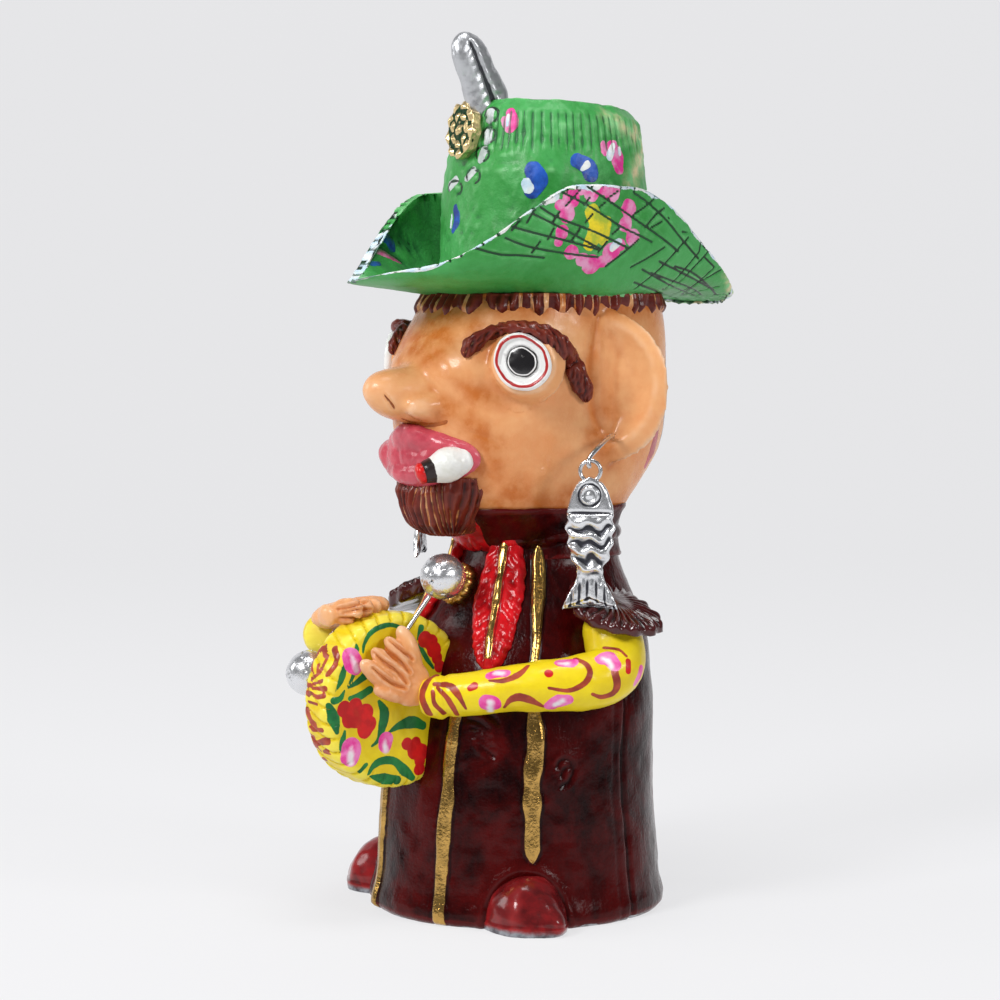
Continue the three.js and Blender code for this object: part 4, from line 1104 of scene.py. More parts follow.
class MakeHands(bpy.types.Operator):
    """Makes the hands with their scored fingers"""

    bl_idname = "figurine.hands"
    bl_label = "Hands"

    def execute(self, context):
        poses = {1: ((-5, -11.5, 17), (1, -0.1, 0.15)), -1: ((22, 11, 6), (-0.25, -0.1, 1))}
        for side, (reach, out) in poses.items():
            along = unit(reach)
            across = unit(np.cross(out, along))
            basis = np.stack([across, along, np.cross(along, across)])
            parts = [egg((8, 9.6, 3.2), 30, 40, (0, 7.9, 0))]
            for k in range(4):
                place = k / 3 - 0.5
                finger = egg((3.2, 8.6, 3.2), 30, 40, (0, 7.0, 0))
                parts.append(spun(finger, -0.5 * place) + (11.16 * place, 8.16, 0))
            thumb = egg((2.4, 5.8, 2.9), 30, 40)
            parts.append(spun(thumb, -0.6 * side) + (8.3 * side, 8.6, 0))
            lift = (0, 0, 1.8 if side < 0 else 0)
            thick = (1, 1, 1.4 if side < 0 else 1)
            form = fused([part * thick @ basis + WRISTS[side] + lift for part in parts], 0.55, 4)
            form.knead(71 + side, 5, 0.3)
            groove = form.marks(HAND_GROOVES[side])
            form.push(-0.9 * ramp(groove, 0.35, -0.5) + 0.2 * bell((groove - 0.8) / 0.5))
            paints = {"crease": groove + (0.25 if side > 0 else 0.5), "shade": groove - 0.7}
            piece(sided("hand", side), form, skin_finish(), paints)
        return {"FINISHED"}


def head_point(degrees, height, rise=0.0):
    sizes = table_at(HEAD_SECTIONS, (height - ROBE_HEIGHT) / HEAD_HEIGHT)
    angle = np.radians(degrees)
    return around(angle, section_radius(sizes, angle, HEAD_SQUARENESS) + rise, height, HEAD_BACK)


def at_head(out, forward, height):
    return np.array([out, HEAD_BACK - forward, height], float)


def eye_place(side):
    """The way an eye looks, and its middle."""
    return around(math.radians(side * 45), 1, 0.08), at_head(side * 38.3, 37.3, EYE_HEIGHT)


def sectioned(rows, base, height, back, squareness, shares, columns, change=None):
    share = shares[:, None]
    angle = turns(columns)
    radius = section_radius(table_at(rows, share), angle, squareness)
    if change is not None:
        radius = radius + change(share, angle, radius)
    return around(angle, radius, base + share * height, back)


BROW = [(465, 357), (474, 345), (487, 336), (501, 331), (515, 330), (530, 331), (542, 335), (552, 342),
        (561, 351), (568, 360), (574, 370), (579, 381), (583, 391), (585, 401)]
BROW_PATH = []  # the brow's places on the head, filled when the head is made
NOSTRIL = [(384, 395), (391, 404), (402, 418)]
NOSE_WING = [((0.4, 0.9, 0.6), [(402, 419), (418, 424), (434, 425), (446, 422)])]
WRINKLES = [(0.3, [(431, 352), (437, 357), (445, 364), (449, 373)]),
            (0.3, [(424, 366), (433, 369), (441, 378)]),
            (0.35, [(471, 432), (492, 440), (509, 455)]), (0.35, [(508, 408), (517, 413), (530, 410)])]
EAR_LINE = [((0.3, 0.8, 1.1, 1.1, 0.8),
             [(599, 316), (595, 338), (592, 362), (592, 386), (595, 410), (601, 428)])]
NAPE_BLUSH = [((1.5, 3.0, 1.5), [(655, 470), (668, 447), (680, 425)])]
SHADE_STROKES = [((2, 6, 6, 3), [(425, 362), (438, 345), (447, 325), (452, 305)]),
                 ((2, 4, 2), [(455, 380), (480, 395), (500, 402)]),
                 ((2, 4, 4, 2), [(442, 408), (470, 425), (490, 445), (500, 480)]),
                 ((3, 5, 5), [(480, 505), (520, 507), (560, 505)]),
                 ((2, 4, 3), [(592, 440), (605, 450), (612, 465)])]
# Spots of painted shade: distance out and forward, height, size; then degrees, height, rise, size
NOSE_SHADE = [(17, 52, 172, 5), (23, 48, 168, 4.5), (0, 56, 166, 4.5), (10, 57, 165, 4.5)]
HEAD_SHADE = [(86, 162, 1, 5.5), (87, 172, 1, 5), (70, 143, 0, 5), (30, 192, 0, 4), (24, 200, 0, 5),
              (40, 144, 0, 6), (27, 150, 0, 6), (62, 186, 0, 3), (0, 196, 0, 8), (0, 204, 0, 9)]


def head_rings(shares, columns, change=None):
    return sectioned(HEAD_SECTIONS, ROBE_HEIGHT, HEAD_HEIGHT, HEAD_BACK, HEAD_SQUARENESS, shares, columns,
                     change)


class MakeHead(bpy.types.Operator):
    """Makes the head with nose, ears and eye mounds in one skin"""

    bl_idname = "figurine.head"
    bl_label = "Head"

    def execute(self, context):
        shares = np.linspace(-0.08, 0.885, 120)
        parts = [head_rings(shares, 240)]
        bridge = [at_head(0, forward, NOSE_HEIGHT + up) for forward, up in
                  [(42, -1), (58, -0.5), (69, 0.3), (73.8, 0)]]

        def nose_size(share):
            taper = blunted(share, 0.72, 0.28, 2.2)
            thick = lerp(10.5, 6.5, share) + bell((share - 0.5) / 0.3)
            return lerp(17, 6.4, share ** 0.8) * taper, thick * taper

        parts.append(swept(bridge, nose_size, 60, 80, (1, 0, 0)))
        parts.append(egg((24.5, 16.5, 9), 50, 70, at_head(0, 36, LIP_HEIGHT)))
        for side in (-1, 1):
            parts.append(egg((6.5, 14, 5.5), 30, 40, at_head(side * 9.5, 50, NOSE_HEIGHT - 4.5)))
            mound = rows_of(16)
            radius = np.concatenate([[[0.3]], lerp(13.8, 10.7, mound ** 0.7), [[10.0]], [[0.3]]])
            depth = np.concatenate([[[-12]], lerp(-12, -2.2, mound), [[-2.0]], [[-2.0]]])
            ring = turns(90)
            parts.append(aimed(disc(radius, ring, depth), *eye_place(side)))
            parts.append(self.ear(side))
        form = fused(parts, 1.0, 3)
        p = form.corners
        brow, outward = form.seen(BROW)
        BROW_PATH[:] = brow + 0.9 * outward
        form.push(hand_made(p, 81, 15, 0.5))
        crease = form.gap([((0.3, 0.5, 0.3), form.seen(NOSTRIL)[0], None)])
        wing = form.marks(NOSE_WING)
        wrinkle = form.marks(WRINKLES)
        rise = -0.8 * ramp(crease, 0.3, -0.4) - 0.5 * ramp(wing, 0.5, -0.5)
        form.push(rise - 0.35 * ramp(wrinkle, 0.4, -0.3))
        shade = self.shading(form)
        ear_line = form.marks(EAR_LINE)
        form.push(-0.7 * ramp(ear_line, 1.8, -0.6))
        turned = np.abs(np.degrees(np.arctan2(p[:, 0], HEAD_BACK - p[:, 1])))
        hairline = np.maximum(148 - turned + 3 * lumps(p, 5, 12),
                              161 - p[:, 2] + 3 * lumps(p * (1, 1, 0.2), 3, 13))
        paints = {"shade": np.minimum(shade, ear_line - 1.5), "crease": np.minimum(crease, wing),
                  "maroon": np.minimum(p[:, 2] - 137.2 + 0.6 * lumps(p, 6, 3), hairline),
                  "rose": form.marks(NAPE_BLUSH)}
        piece("head", form, skin_finish(), paints)
        return {"FINISHED"}

    @staticmethod
    def ear(side):
        """A flat oval cupped towards the front, standing out behind the cheek."""
        root = head_point(90, 179.35, -2.5)
        polar = rows_of(90, 0.02, math.pi - 0.02)
        ring = turns(110)
        y = 23 * np.sin(polar) * np.sin(ring)
        z = -26.65 * np.cos(polar) + 0 * ring
        x = 3 * np.sin(polar) * np.cos(ring)
        rim = np.hypot((y + 2) / 19.5, (z - 1) / 21.65)
        x = np.where(x > 0, x - 4.2 * ramp(rim, 1.06, 0.6) * np.clip(x / 2, 0, 1), x)
        x = x + 0.012 * y * y * np.sign(y) + 0.9 * bell((rim - 1.02) / 0.09) * (x > 0)
        points = spun(stacked(x, y, z), -math.radians(36)) + root
        points[..., 0] *= side
        return points

    @staticmethod
    def shading(form):
        """Painted shade round the nose, under the brows, at the ears' roots, under the jaw and under the
        fringe.
        """
        p = form.corners
        gap = np.full(len(p), FAR)
        spots = [(at_head(side * out, forward, height), size) for side in (-1, 1)
                 for out, forward, height, size in NOSE_SHADE]
        spots += [(head_point(side * degrees, height, rise), size) for side in (-1, 1)
                  for degrees, height, rise, size in HEAD_SHADE]
        for place, size in spots:
            gap = np.minimum(gap, np.linalg.norm(p - place, axis=1) - size)
        # Painted shade under the jaw and under the fringe.
        gap = np.minimum(gap, 0.8 * np.minimum(p[:, 2] - 141, 202.5 - p[:, 2]))
        near = form.marks(SHADE_STROKES)
        far, twin = form.twins(-1)
        near[far] = near[twin]
        return np.minimum(gap, near) + 0.8 * lumps(p, 7, 7)


class MakeEyes(bpy.types.Operator):
    """Makes the ringed eyes"""

    bl_idname = "figurine.eyes"
    bl_label = "Eyes"

    def execute(self, context):
        size, face, edge = mm("eye_radius"), 44, 4
        for side in (-1, 1):
            out = out_and_back(face, edge, size - 1, size, 0.1)
            ring = turns(96)
            rise = 0.9 * np.sqrt(np.clip(1 - (out / 5.6) ** 2, 0, 1)) - 0.9 + 1.3 * ramp(out, 7.6, 8.6)
            rise = rise - 0.7 * bell((out - 5.6) / 0.35) - 0.9 * ramp(out, 9.4, size)
            rise[face:] = -2.5
            wobble = 1 + 0.012 * np.sin(ring * 3 + side) + 0.008 * np.sin(ring * 7)
            form = shell(aimed(disc(out * wobble, ring, rise) * (0.98, 0.88, 1), *eye_place(side)))
            form.push(0.1 * lumps(form.corners, 2.5, 5))
            made = piece(sided("eye", side), form, finish(eye_glaze, "eye_glaze"))
            values = on_corners(out, (len(out), ring.size), 0, size)
            data = made.data.attributes.new("ring", "FLOAT", "POINT").data
            data.foreach_set("value", values.astype(np.float32))
        return {"FINISHED"}


class MakeHair(bpy.types.Operator):
    """Makes the brows, the fringe under the hat and the beard, scored with strands"""

    bl_idname = "figurine.hair"
    bl_label = "Hair"

    def execute(self, context):
        self.brows()
        self.fringe()
        self.beard()
        return {"FINISHED"}

    @staticmethod
    def brows():
        rows, columns, length, half_width = 130, 50, 62, 3.2

        def size_at(share):
            size = 3.9 * round_ends(share, 0.1, 0.1) * lerp(0.85, 1.0, share)
            return size, size * 0.6

        for side in (-1, 1):
            form = shell(swept(np.array(BROW_PATH) * (side, 1, 1), size_at, rows, columns, (0, -1, 0)))
            share = on_corners(rows_of(rows), (rows, columns), 0, 1)
            ring = on_corners(turns(columns), (rows, columns))
            along, across = share * length, half_width * np.sin(ring)
            grain = stacked(along * 0.22 + across * 0.2, across * 0.9 - along * 0.42, 0 * along)
            strands = lumps(grain, 0.62, 92)
            inside = 1 - 0.6 * ramp(np.abs(across), 2.6, 3.2)
            form.push(0.75 * strands * inside + hand_made(form.corners, 91, 4, 0.3))
            orange = (strands + 0.62) * 2.6 + 0.4 * lumps(form.corners, 2, 6)
            orange = orange + 0.2 + 1.5 * ramp(share, 0.1, 0.22)
            piece(sided("brow", side), form, hair_finish(), {"orange": orange})

    @staticmethod
    def fringe():
        """A band of hair under the hat, with strands that end unevenly."""
        low, high = ((height - ROBE_HEIGHT) / HEAD_HEIGHT for height in (202.5, 211))

        def strands(angle):
            return np.sin(angle * 56 + 1.6 * np.sin(angle * 9))

        def locks(share, angle, radius):
            length = 0.055 * (1.2 + np.sin(angle * 28 + 2 * np.sin(angle * 5)))
            uneven = ramp(share, low, low + length)
            return -1.2 + 2.6 * uneven * ramp(share, low, low + 0.05) + 0.55 * strands(angle) * uneven

        band = shell(head_rings(np.linspace(low, high, 28), 500, locks))
        band.knead(95, 4, 0.3)
        x, y, z = band.corners.T
        orange = (strands(np.arctan2(x, HEAD_BACK - y)) + 0.8) * 1.4
        orange = orange + 0.9 * lumps(band.corners * (1, 1, 0.3), 3, 3)
        piece("fringe", band, hair_finish(), {"orange": orange - 0.7 * ramp(z, 207, 203)})

    @staticmethod
    def beard():
        centre, low, height = HEAD_BACK - 38, ROBE_HEIGHT - 4, 20.5
        table = [[0, 7, 11, 5], [0.2, 12, 15, 7], [0.5, 17, 17.5, 11], [0.75, 20, 17.5, 14], [1, 21, 15, 14]]

        def strands(share, angle):
            return np.sin(angle * 44 + 2.5 * np.sin(angle * 7 + share * 3))

        def locks(share, angle, radius):
            waves = 0.45 * strands(share, angle) + 0.5 * np.cos(angle * 13 + share)
            return -0.4 - 3 * ramp(share, 0.06, 0) + waves

        form = shell(sectioned(table, low, height, centre, 2.4, np.linspace(0, 1, 50), 300, locks))
        form.knead(97, 5, 0.35)
        x, y, z = form.corners.T
        strand = strands((z - low) / height, np.arctan2(x, centre - y))
        orange = (strand + 0.93) * 2.4 + 1.3 * lumps(form.corners * (1, 1, 0.4), 4, 8)
        piece("beard", form, hair_finish(), {"orange": orange})


class MakeMouth(bpy.types.Operator):
    """Makes the lips and the smoking roll"""

    bl_idname = "figurine.mouth"
    bl_label = "Mouth"

    def execute(self, context):
        # The two colours after the coat weight are the painted shade for the recesses and the painted
        # highlight for the ridges.
        pink = finish(clay_paint, "lip_glaze", tint("lip"), (0.42, 0.045, 0.07), [], 8, 0.22, 0.6,
                      (0.24, 0.02, 0.03), (0.84, 0.30, 0.33), 0.5, relief=0.16)
        angle = turns(300).T
        ring = turns(60)
        corner = np.abs(np.cos(angle))
        radius = lerp(4.4, 2.64, corner ** 4)
        out = np.cos(ring)
        x = 22.1 * np.cos(angle) + out * radius * np.cos(angle)
        z = LIP_HEIGHT + 5.6 * np.sin(angle) + out * radius * np.sin(angle)
        bow = np.sqrt(1 - np.clip((x / 28.5) ** 2, 0, 1))
        forward = 57.5 - 4.4 - 18 * (1 - bow) + np.sin(ring) * radius
        lips = loop_form(np.stack([x, HEAD_BACK - forward, z], -1))
        inner = egg((22.5, 18.3, 7.6), 50, 80, at_head(0, 37.5, LIP_HEIGHT))
        fill = [egg((9, 4.8, 6.2), 24, 30, at_head(x, 34.6 + 18 * math.sqrt(1 - (x / 28.5) ** 2), LIP_HEIGHT))
                for x in (-17, -8, 0, 8)]
        form = fused([lips, inner, *fill], 0.72, 2)
        p = form.corners
        tip = bell(p[:, 0] / 8) * ramp(p[:, 2], 158, 165) * ramp(-p[:, 1], 36, 47)
        form.corners = p + tip[:, None] * (0, -2.6, 2.4)
        form.push(hand_made(p, 101, 6, 0.5))
        piece("lips", form, pink)
        self.roll()
        return {"FINISHED"}

    @staticmethod
    def roll():
        """The smoking roll, with its painted band and ember."""
        layers = [("band", BLACK, (0.03, 0.02, 0.02), False, 0.5),
                  ("ember", tint("flower"), (0.30, 0.01, 0.01), False, 0.4)]
        # The colour after the coat weight is the painted shade for the recesses.
        white = finish(clay_paint, "roll_glaze", WHITE, (0.70, 0.70, 0.64), layers, 8, 0.3, 0.5,
                       (0.4, 0.38, 0.3))
        length = 20
        start = at_head(21, 45, LIP_HEIGHT + 0.5)
        aim = unit(at_head(14, 62.5, LIP_HEIGHT - 5) - start)

        def size_at(share):
            size = (3.6 + 2.2 * bell((share - 0.42) / 0.27)) * round_ends(share, 0.1, 0.2)
            return size * (1 - 0.06 * bell((share - 0.86) * 30))

        form = shell(swept([start, start + length / 2 * aim, start + length * aim], size_at, 60, 50))
        form.knead(103, 4, 0.3)
        share = (form.corners - start) @ aim / length
        piece("smoking_roll", form, white, {"band": (0.7 - share) * length, "ember": (0.87 - share) * length})


def brim_rise(angle):
    quarters = np.abs(angle) / math.pi * 2
    front = lerp(9, 35, ramp(quarters, 0.18, 0.75))
    return np.where(quarters < 1, front, lerp(35, -3.5, ramp(quarters - 1, 0, 0.95)))


def brim_point(angle, share):
    inner = section_radius(CROWN_SECTIONS[0][1:], angle, 2)
    outer = section_radius(BRIM_REACH, angle, 2)
    spread = np.where(share < 0, share, 1 - (1 - share) ** 2)
    radius = np.where(share < 0, inner + share * 10, lerp(inner, outer, spread))
    height = CROWN_BASE + 2 + brim_rise(angle) * np.maximum(0, share) ** 1.4
    return around(angle, radius, height, HAT_BACK)


BRIM_LINES = [
    [(540.6, 208), (557, 218), (595.6, 233), (628, 248.6)],
    [(562, 193), (590.6, 208), (620.6, 227), (643, 238), (652, 243)],
    [(587, 187.4), (610.6, 203), (635.6, 220.5), (660.6, 238), (678, 252)],
    [(633, 193.6), (648, 204), (665.6, 220.5), (682, 240.5), (698, 259)],
    [(504, 225), (534, 233.5), (569, 242), (597, 250)], [(469, 247), (499, 255), (519, 256), (544, 258.5)],
    [(565.6, 207), (580.6, 190.5)], [(608, 199), (618, 192)], [(599.4, 208), (605.6, 203)],
    [(633, 215.5), (645.6, 207), (653, 200.5)], [(668, 218.6), (679, 212)], [(650.6, 228.6), (662, 222)],
    [(682, 232.4), (695, 225)], [(570.6, 242.4), (579.4, 230.5)], [(585.6, 223), (592.5, 215)],
    [(612, 235), (619.4, 228.6)], [(598, 253), (607, 242)], [(605.6, 267), (627, 250.5), (638, 240.5)],
    [(630.6, 268), (647, 259), (664.4, 248)], [(690.6, 271), (702, 259), (711, 248.6)],
    [(527, 223.5), (534, 211)], [(532, 253.5), (540.5, 242)],
    [(650.6, 273.6), (673, 282), (690.6, 289), (703, 297)],
    [(674.4, 267), (689.4, 272), (702, 281), (715.6, 295.5)], [(677, 284), (689.4, 272)],
    [(664.4, 298), (690.6, 287), (720.6, 270.5)], [(670.6, 299), (690.6, 293), (718, 287)],
    [(634, 283), (656, 292), (676, 300)], [(642, 270), (672, 287), (700, 299)],
    [(659, 262), (690, 278), (713, 291)], [(651, 299), (676, 279), (705, 245)],
    [(668, 303), (697, 283), (720, 262)], [(634, 290), (659, 270), (688, 238)],
    [(524, 210), (562, 229), (599, 249)], [(487, 229), (521, 245), (558, 253), (598, 258)],
    [(512, 231), (520, 221)], [(552, 224), (560, 212)], [(645, 228), (656, 215), (664, 209)],
    [(548, 240), (554, 229)], [(584, 206), (590, 198)],
]
BRIM_LINES += [[(379, 232), (396, 240), (411, 252)], [(372, 243), (389, 252), (402, 262)],
               [(388, 222), (400, 236), (416, 248)]]
BRIM_PETALS = [(radius, [place]) for radius, place in
               [(3.2, (571, 200)), (2.9, (591, 194)), (3.4, (612, 193)), (3.2, (628, 209)), (2.8, (625, 225)),
                (3.0, (632, 238)), (3.5, (611, 253)), (3.5, (591, 265)), (2.6, (571, 253)), (2.5, (562, 233)),
                (2.9, (567, 215)), (2.2, (580, 190)), (2.4, (602, 189)), (2.4, (582, 260)), (2.2, (602, 262)),
                (2.2, (620, 246)), (1.9, (560, 206)), (1.6, (558, 243))]]


BRIM_MARKS = {
    "pink": BRIM_PETALS + [((0.5, 1.3, 0.5), [(368, 250), (384, 254), (402, 264)])],
    "yellow": [((2.8, 3.2, 2.6), [(592, 213), (597, 224), (595, 234), (590, 244)]),
               (2.0, [(606, 222), (603, 240)])],
    "blue": [((1.6, 2.0), [(383, 237), (391, 242), (392, 248)]), (1.0, [(371, 264), (380, 264)])],
    # The two white touches are painted highlights on a blue stroke and a pink petal.
    "white": [(0.8, [(379, 238), (383, 236)]), (1.4, [(612, 248), (618, 243)])],
}
LACE_HOLES = [(492, 116), (489, 136), (482, 155), (473, 177), (455, 189)]
CROWN_MARKS = {
    "blue": [((3.0, 3.6, 3.0), [(533, 171), (537, 181), (532, 191)]),
             ((2.6, 3.0), [(577, 162), (588, 168), (590, 175)]),
             ((1.5, 2.0, 1.2), [(455, 209), (457, 221), (453, 231)])],
    "pink": [(2.0, [(511, 116), (513, 124), (510, 130)]), (1.5, [(505, 122), (506, 128)]),
             ((3.0, 3.4, 2.6), [(612, 150), (616, 158), (618, 168)]), (1.3, [(603, 146), (604, 154)])],
    # The white touches on the edges of the blue and pink spots are painted highlights.
    "white": [((1.8, 2.0), [(526, 184), (528, 189)]), ((0.8, 1.2), [(582, 170), (587, 166)]),
              (0.7, [(452, 216), (451, 227)]), ((1.0, 1.6), [(612, 147), (609, 158)]),
              (0.8, [(618, 150), (619, 156)]), (0.7, [(508, 117), (507, 127)])],
    "silver": [(1.9, [(490.5, 112), (490, 120)]), (1.7, [(489.3, 134), (488.5, 142)]),
               (1.7, [(484, 152), (481, 160)]), (1.8, [(473, 173), (468, 178)]),
               (1.8, [(456, 182), (450, 188)])],
    "black": [(0.5, [(x + 6.5 * math.cos(a), y + 7 * math.sin(a)) for a in np.linspace(2.6, 7.6, 9)])
              for x, y in LACE_HOLES],
    "speckle": [((4.0, 6.0, 5.0), [(606, 118), (626, 130), (640, 142), (640, 160), (630, 182)])],
}


class MakeHat(bpy.types.Operator):
    """Makes the hat's crown and brim with their scored and painted marks"""

    bl_idname = "figurine.hat"
    bl_label = "Hat"

    def execute(self, context):
        layers = [("speckle", CREAM, tint("hat_light"), False, WORN),
                  ("pink", tint("pink"), (0.78, 0.34, 0.55), False, 0.5),
                  ("yellow", tint("yellow"), (0.40, 0.50, 0.03), False, 0.5),
                  ("silver", (0.62, 0.66, 0.66), (0.40, 0.46, 0.44), False, 0.3),
                  ("blue", (0.012, 0.10, 0.52), (0.006, 0.03, 0.22), False, 0.4),
                  ("white", WHITE, (0.55, 0.72, 0.85), False, 0.6),
                  ("black", BLACK, (0.012, 0.02, 0.012), False, 0.1)]
        # The two colours after the coat weight are the painted shade for the recesses and the painted
        # highlight for the ridges.
        green = finish(clay_paint, "hat_paint", tint("hat"), (0.075, 0.42, 0.11), layers, 16, 0.46, 0.12,
                       (0.01, 0.10, 0.03), tint("hat_light"), 0.34, relief=0.35, amount=0.8, shine=0.35)
        self.crown(green)
        self.brim(green)
        return {"FINISHED"}

    @staticmethod
    def crown(green):
        rows, columns, ends = 77, 420, 11
        shares = np.concatenate([np.linspace(0, 0.9, 58), np.linspace(0.9, 1, rows - 57)[1:], np.ones(ends)])

        def ribs(share, angle, radius):
            wave = np.abs(np.sin(angle * 35 + 0.4 * np.sin(angle * 11)))
            high = ramp(share, 0.70, 0.78) * ramp(share, 0.955, 0.92)
            return -0.6 * ramp(wave, 0.5, 0.15) * high

        points = sectioned(CROWN_SECTIONS, CROWN_BASE, CROWN_HEIGHT, HAT_BACK, CROWN_SQUARENESS, shares,
                           columns, ribs)
        inwards = np.concatenate([np.ones(rows), np.linspace(1, 0.05, ends)])[:, None, None]
        centre = np.array([0, HAT_BACK, 0])
        points = np.where(inwards < 1, (points - centre) * (inwards * (1, 1, 0) + (0, 0, 1)) + centre, points)
        form = shell(points)
        form.push(hand_made(form.corners, 111, 12, 0.5) + 0.3 * lumps(form.corners, 2.6, 114))
        high = ramp(form.corners[:, 2], CROWN_BASE + 38, CROWN_BASE + 66)
        form.corners[:, 2] -= 0.065 * high * np.clip(form.corners[:, 1] + 20, 0, 80)
        paints = {name: form.marks(marks) for name, marks in CROWN_MARKS.items()}
        form.push(-0.5 * ramp(paints["black"], 0.4, -0.3) + 0.3 * ramp(paints["silver"], 0.3, -0.6))
        paints["speckle"] = paints["speckle"] + 2.5
        piece("hat_crown", form, green, paints)

    def brim(self, green):
        columns, below, above, step = 480, 80, 20, 0.01
        bend = np.linspace(-0.9, 0.9, 7) * math.pi / 2
        under, over = np.linspace(-0.3, 1, below), np.linspace(1, -0.3, above)
        share = np.concatenate([under, 1 + 0.008 * np.cos(bend), over])[:, None] * 0.985
        level = np.concatenate([-np.ones(below), np.sin(bend), np.ones(above)])[:, None]
        fine = np.linspace(-math.pi, math.pi, 4000)
        dense = 1 + 1.4 * ramp(fine, 0.0, 0.5) * ramp(fine, 2.9, 2.5)
        steps = np.concatenate([[0], np.cumsum(dense)[:-1]]) / np.sum(dense)
        angle = np.interp(np.linspace(0, 1, columns, endpoint=False), steps, fine)[None, :]
        middle = brim_point(angle, share)
        along = brim_point(angle, share + step) - brim_point(angle, share - step)
        turn = brim_point(angle + step, share) - brim_point(angle - step, share)
        normal = unit(np.cross(turn, along))
        normal = np.where(normal[..., 2:] < 0, -normal, normal)
        middle[..., 2] -= BRIM_DROOP * bell((angle + 0.25) / 0.5) * np.clip(share, 0, 1) ** 2.5
        thick = mm("brim_thickness") / 2 * (1 + 0.25 * ramp(share, 0.9, 1.0))
        form = loop_form(np.swapaxes(middle + normal * (level * thick)[..., None], 0, 1))
        share, angle, level = (part.T.ravel() for part in np.broadcast_arrays(share, angle, level))
        edge = ramp(share, 0.93, 1.0)
        notch = np.abs(np.sin(angle * 46 + 1.5 * np.sin(angle * 13)))
        form.push(hand_made(form.corners, 121, 11, 0.4) - 0.35 * edge * ramp(notch, 0.3, 0.05))
        lines = form.marks([(0.38, line) for line in BRIM_LINES])
        lines = np.minimum(lines, self.plain_lines(angle, share, level))
        lines = np.minimum(lines, np.where((edge > 0.45) & (np.abs(angle) < 1.7), (notch - 0.16) * 3, FAR))
        paints = {name: form.marks(marks) for name, marks in BRIM_MARKS.items()}
        paints["black"] = lines
        rim = (0.964 - share) * 30 + 1.6 * lumps(form.corners, 5, 4) + 1.2 * (angle < -0.9)
        paints["white"] = np.minimum(rim, paints["white"])
        worn = FAR - 14 * ramp(share, 0.55, 1) * ramp(np.abs(angle), 2.2, 2.9)
        paints["speckle"] = np.where(np.abs(angle) > 2.2, worn, FAR)
        form.push(-0.55 * ramp(lines, 0.35, -0.3))
        piece("hat_brim", form, green, paints)

    @staticmethod
    def plain_lines(angle, share, level):
        """The scored net, carried round the parts of the brim that the view does not show."""
        hidden = (angle < -0.45) | (angle > 2.75)
        across = np.abs((angle * 5.5 + share * 2.2) % 1 - 0.5) * 7
        cross = np.abs((angle * 7.5 - share * 2.6) % 1 - 0.5) * 6
        gap = np.minimum(np.abs(across - 1.2), np.abs(cross - 1.4)) - 0.3
        return np.where(hidden & (level < 0) & (share > 0.35), gap, FAR)


class MakeTrim(bpy.types.Operator):
    """Makes the rosette and the feather on the hat"""

    bl_idname = "figurine.trim"
    bl_label = "Rosette and feather"

    def execute(self, context):
        height, face, edge = 266, 44, 12
        sizes = table_at(CROWN_SECTIONS, (height - CROWN_BASE) / CROWN_HEIGHT)
        place = around(0.0, section_radius(sizes, 0.0, CROWN_SQUARENESS) + 1, height, HAT_BACK)
        ring = turns(180)
        radial = out_and_back(face, edge, 0.9)
        lobe = 0.5 + 0.5 * np.cos(ring * 9)
        out = 10 * radial * (1 - 0.1 * (1 - lobe) * radial ** 4)
        beads = lobe ** 0.7 * bell((radial - 0.84) * 8) * 1.5
        inner = (0.5 + 0.5 * np.cos(ring * 7 + 1)) ** 0.7 * bell((radial - 0.5) * 8) * 1.4
        up = 0.6 + beads + inner + 1.6 * bell(radial / 0.2)
        up[face:] = np.linspace(0.3, -4, edge)[:, None]
        form = shell(aimed(disc(out, ring, up) * (0.92, 1, 0.8), (-0.12, -1, 0.12), place - (2.6, 2.4, 0)))
        form.push(0.25 * lumps(form.corners, 1.6, 4))
        gold = finish(foil, "rosette_gold", (0.78, 0.60, 0.30), (0.012, 0.05, 0.02), 0.3, 0.15, 0.1, 0.8)
        piece("rosette", form, gold)
        self.feather()
        return {"FINISHED"}

    @staticmethod
    def feather():
        front = section_radius(table_at(CROWN_SECTIONS, 1.0), 0.0, CROWN_SQUARENESS) + 1
        base = around(0.0, float(front), 267, HAT_BACK)
        path = [base + (0, 4, 0), base + (0, 0.4, 10), np.array([0, base[1] - 10.5, 299])]

        def size_at(share):
            tip = blunted(share, 0.8, 0.2, 2)
            return 0.5 * lerp(20, 11, share) * tip * lerp(0.4, 1, ramp(share, 0, 0.3)), 4 * tip

        def lens(share, ring, x, y):
            groove = bell(np.sin(ring) / 0.12) * ramp(share, 0.96, 0.8)
            vane = 1 + 0.02 * np.sin(share * 70 + 6 * np.abs(np.sin(ring)))
            return x, y * (1 - 0.45 * groove) * vane

        quill = shell(swept(path, size_at, 72, 72, (0, -1, 0), lens))
        quill.knead(131, 6, 0.5)
        silver = finish(foil, "feather_silver", (0.55, 0.56, 0.58), (0.07, 0.07, 0.08), 0.36, 0.35, 0.3, 0.85)
        piece("feather", quill, silver)


STICKS = {1: ((12.1, 14.5, 41.4), (8.6, 0.5, 22)), -1: ((-16.6, -20.5, 8.5), (-13.8, -10.3, 25))}


def silver_finish():
    return finish(foil, "silver_leaf", tint("silver"), (0.07, 0.07, 0.08), 0.26, 0.32, 0.32)


def wire_finish():
    return finish(foil, "wire_steel", (0.62, 0.62, 0.63), (0.16, 0.15, 0.15), 0.25, 0.03, 0.5, 1.0)


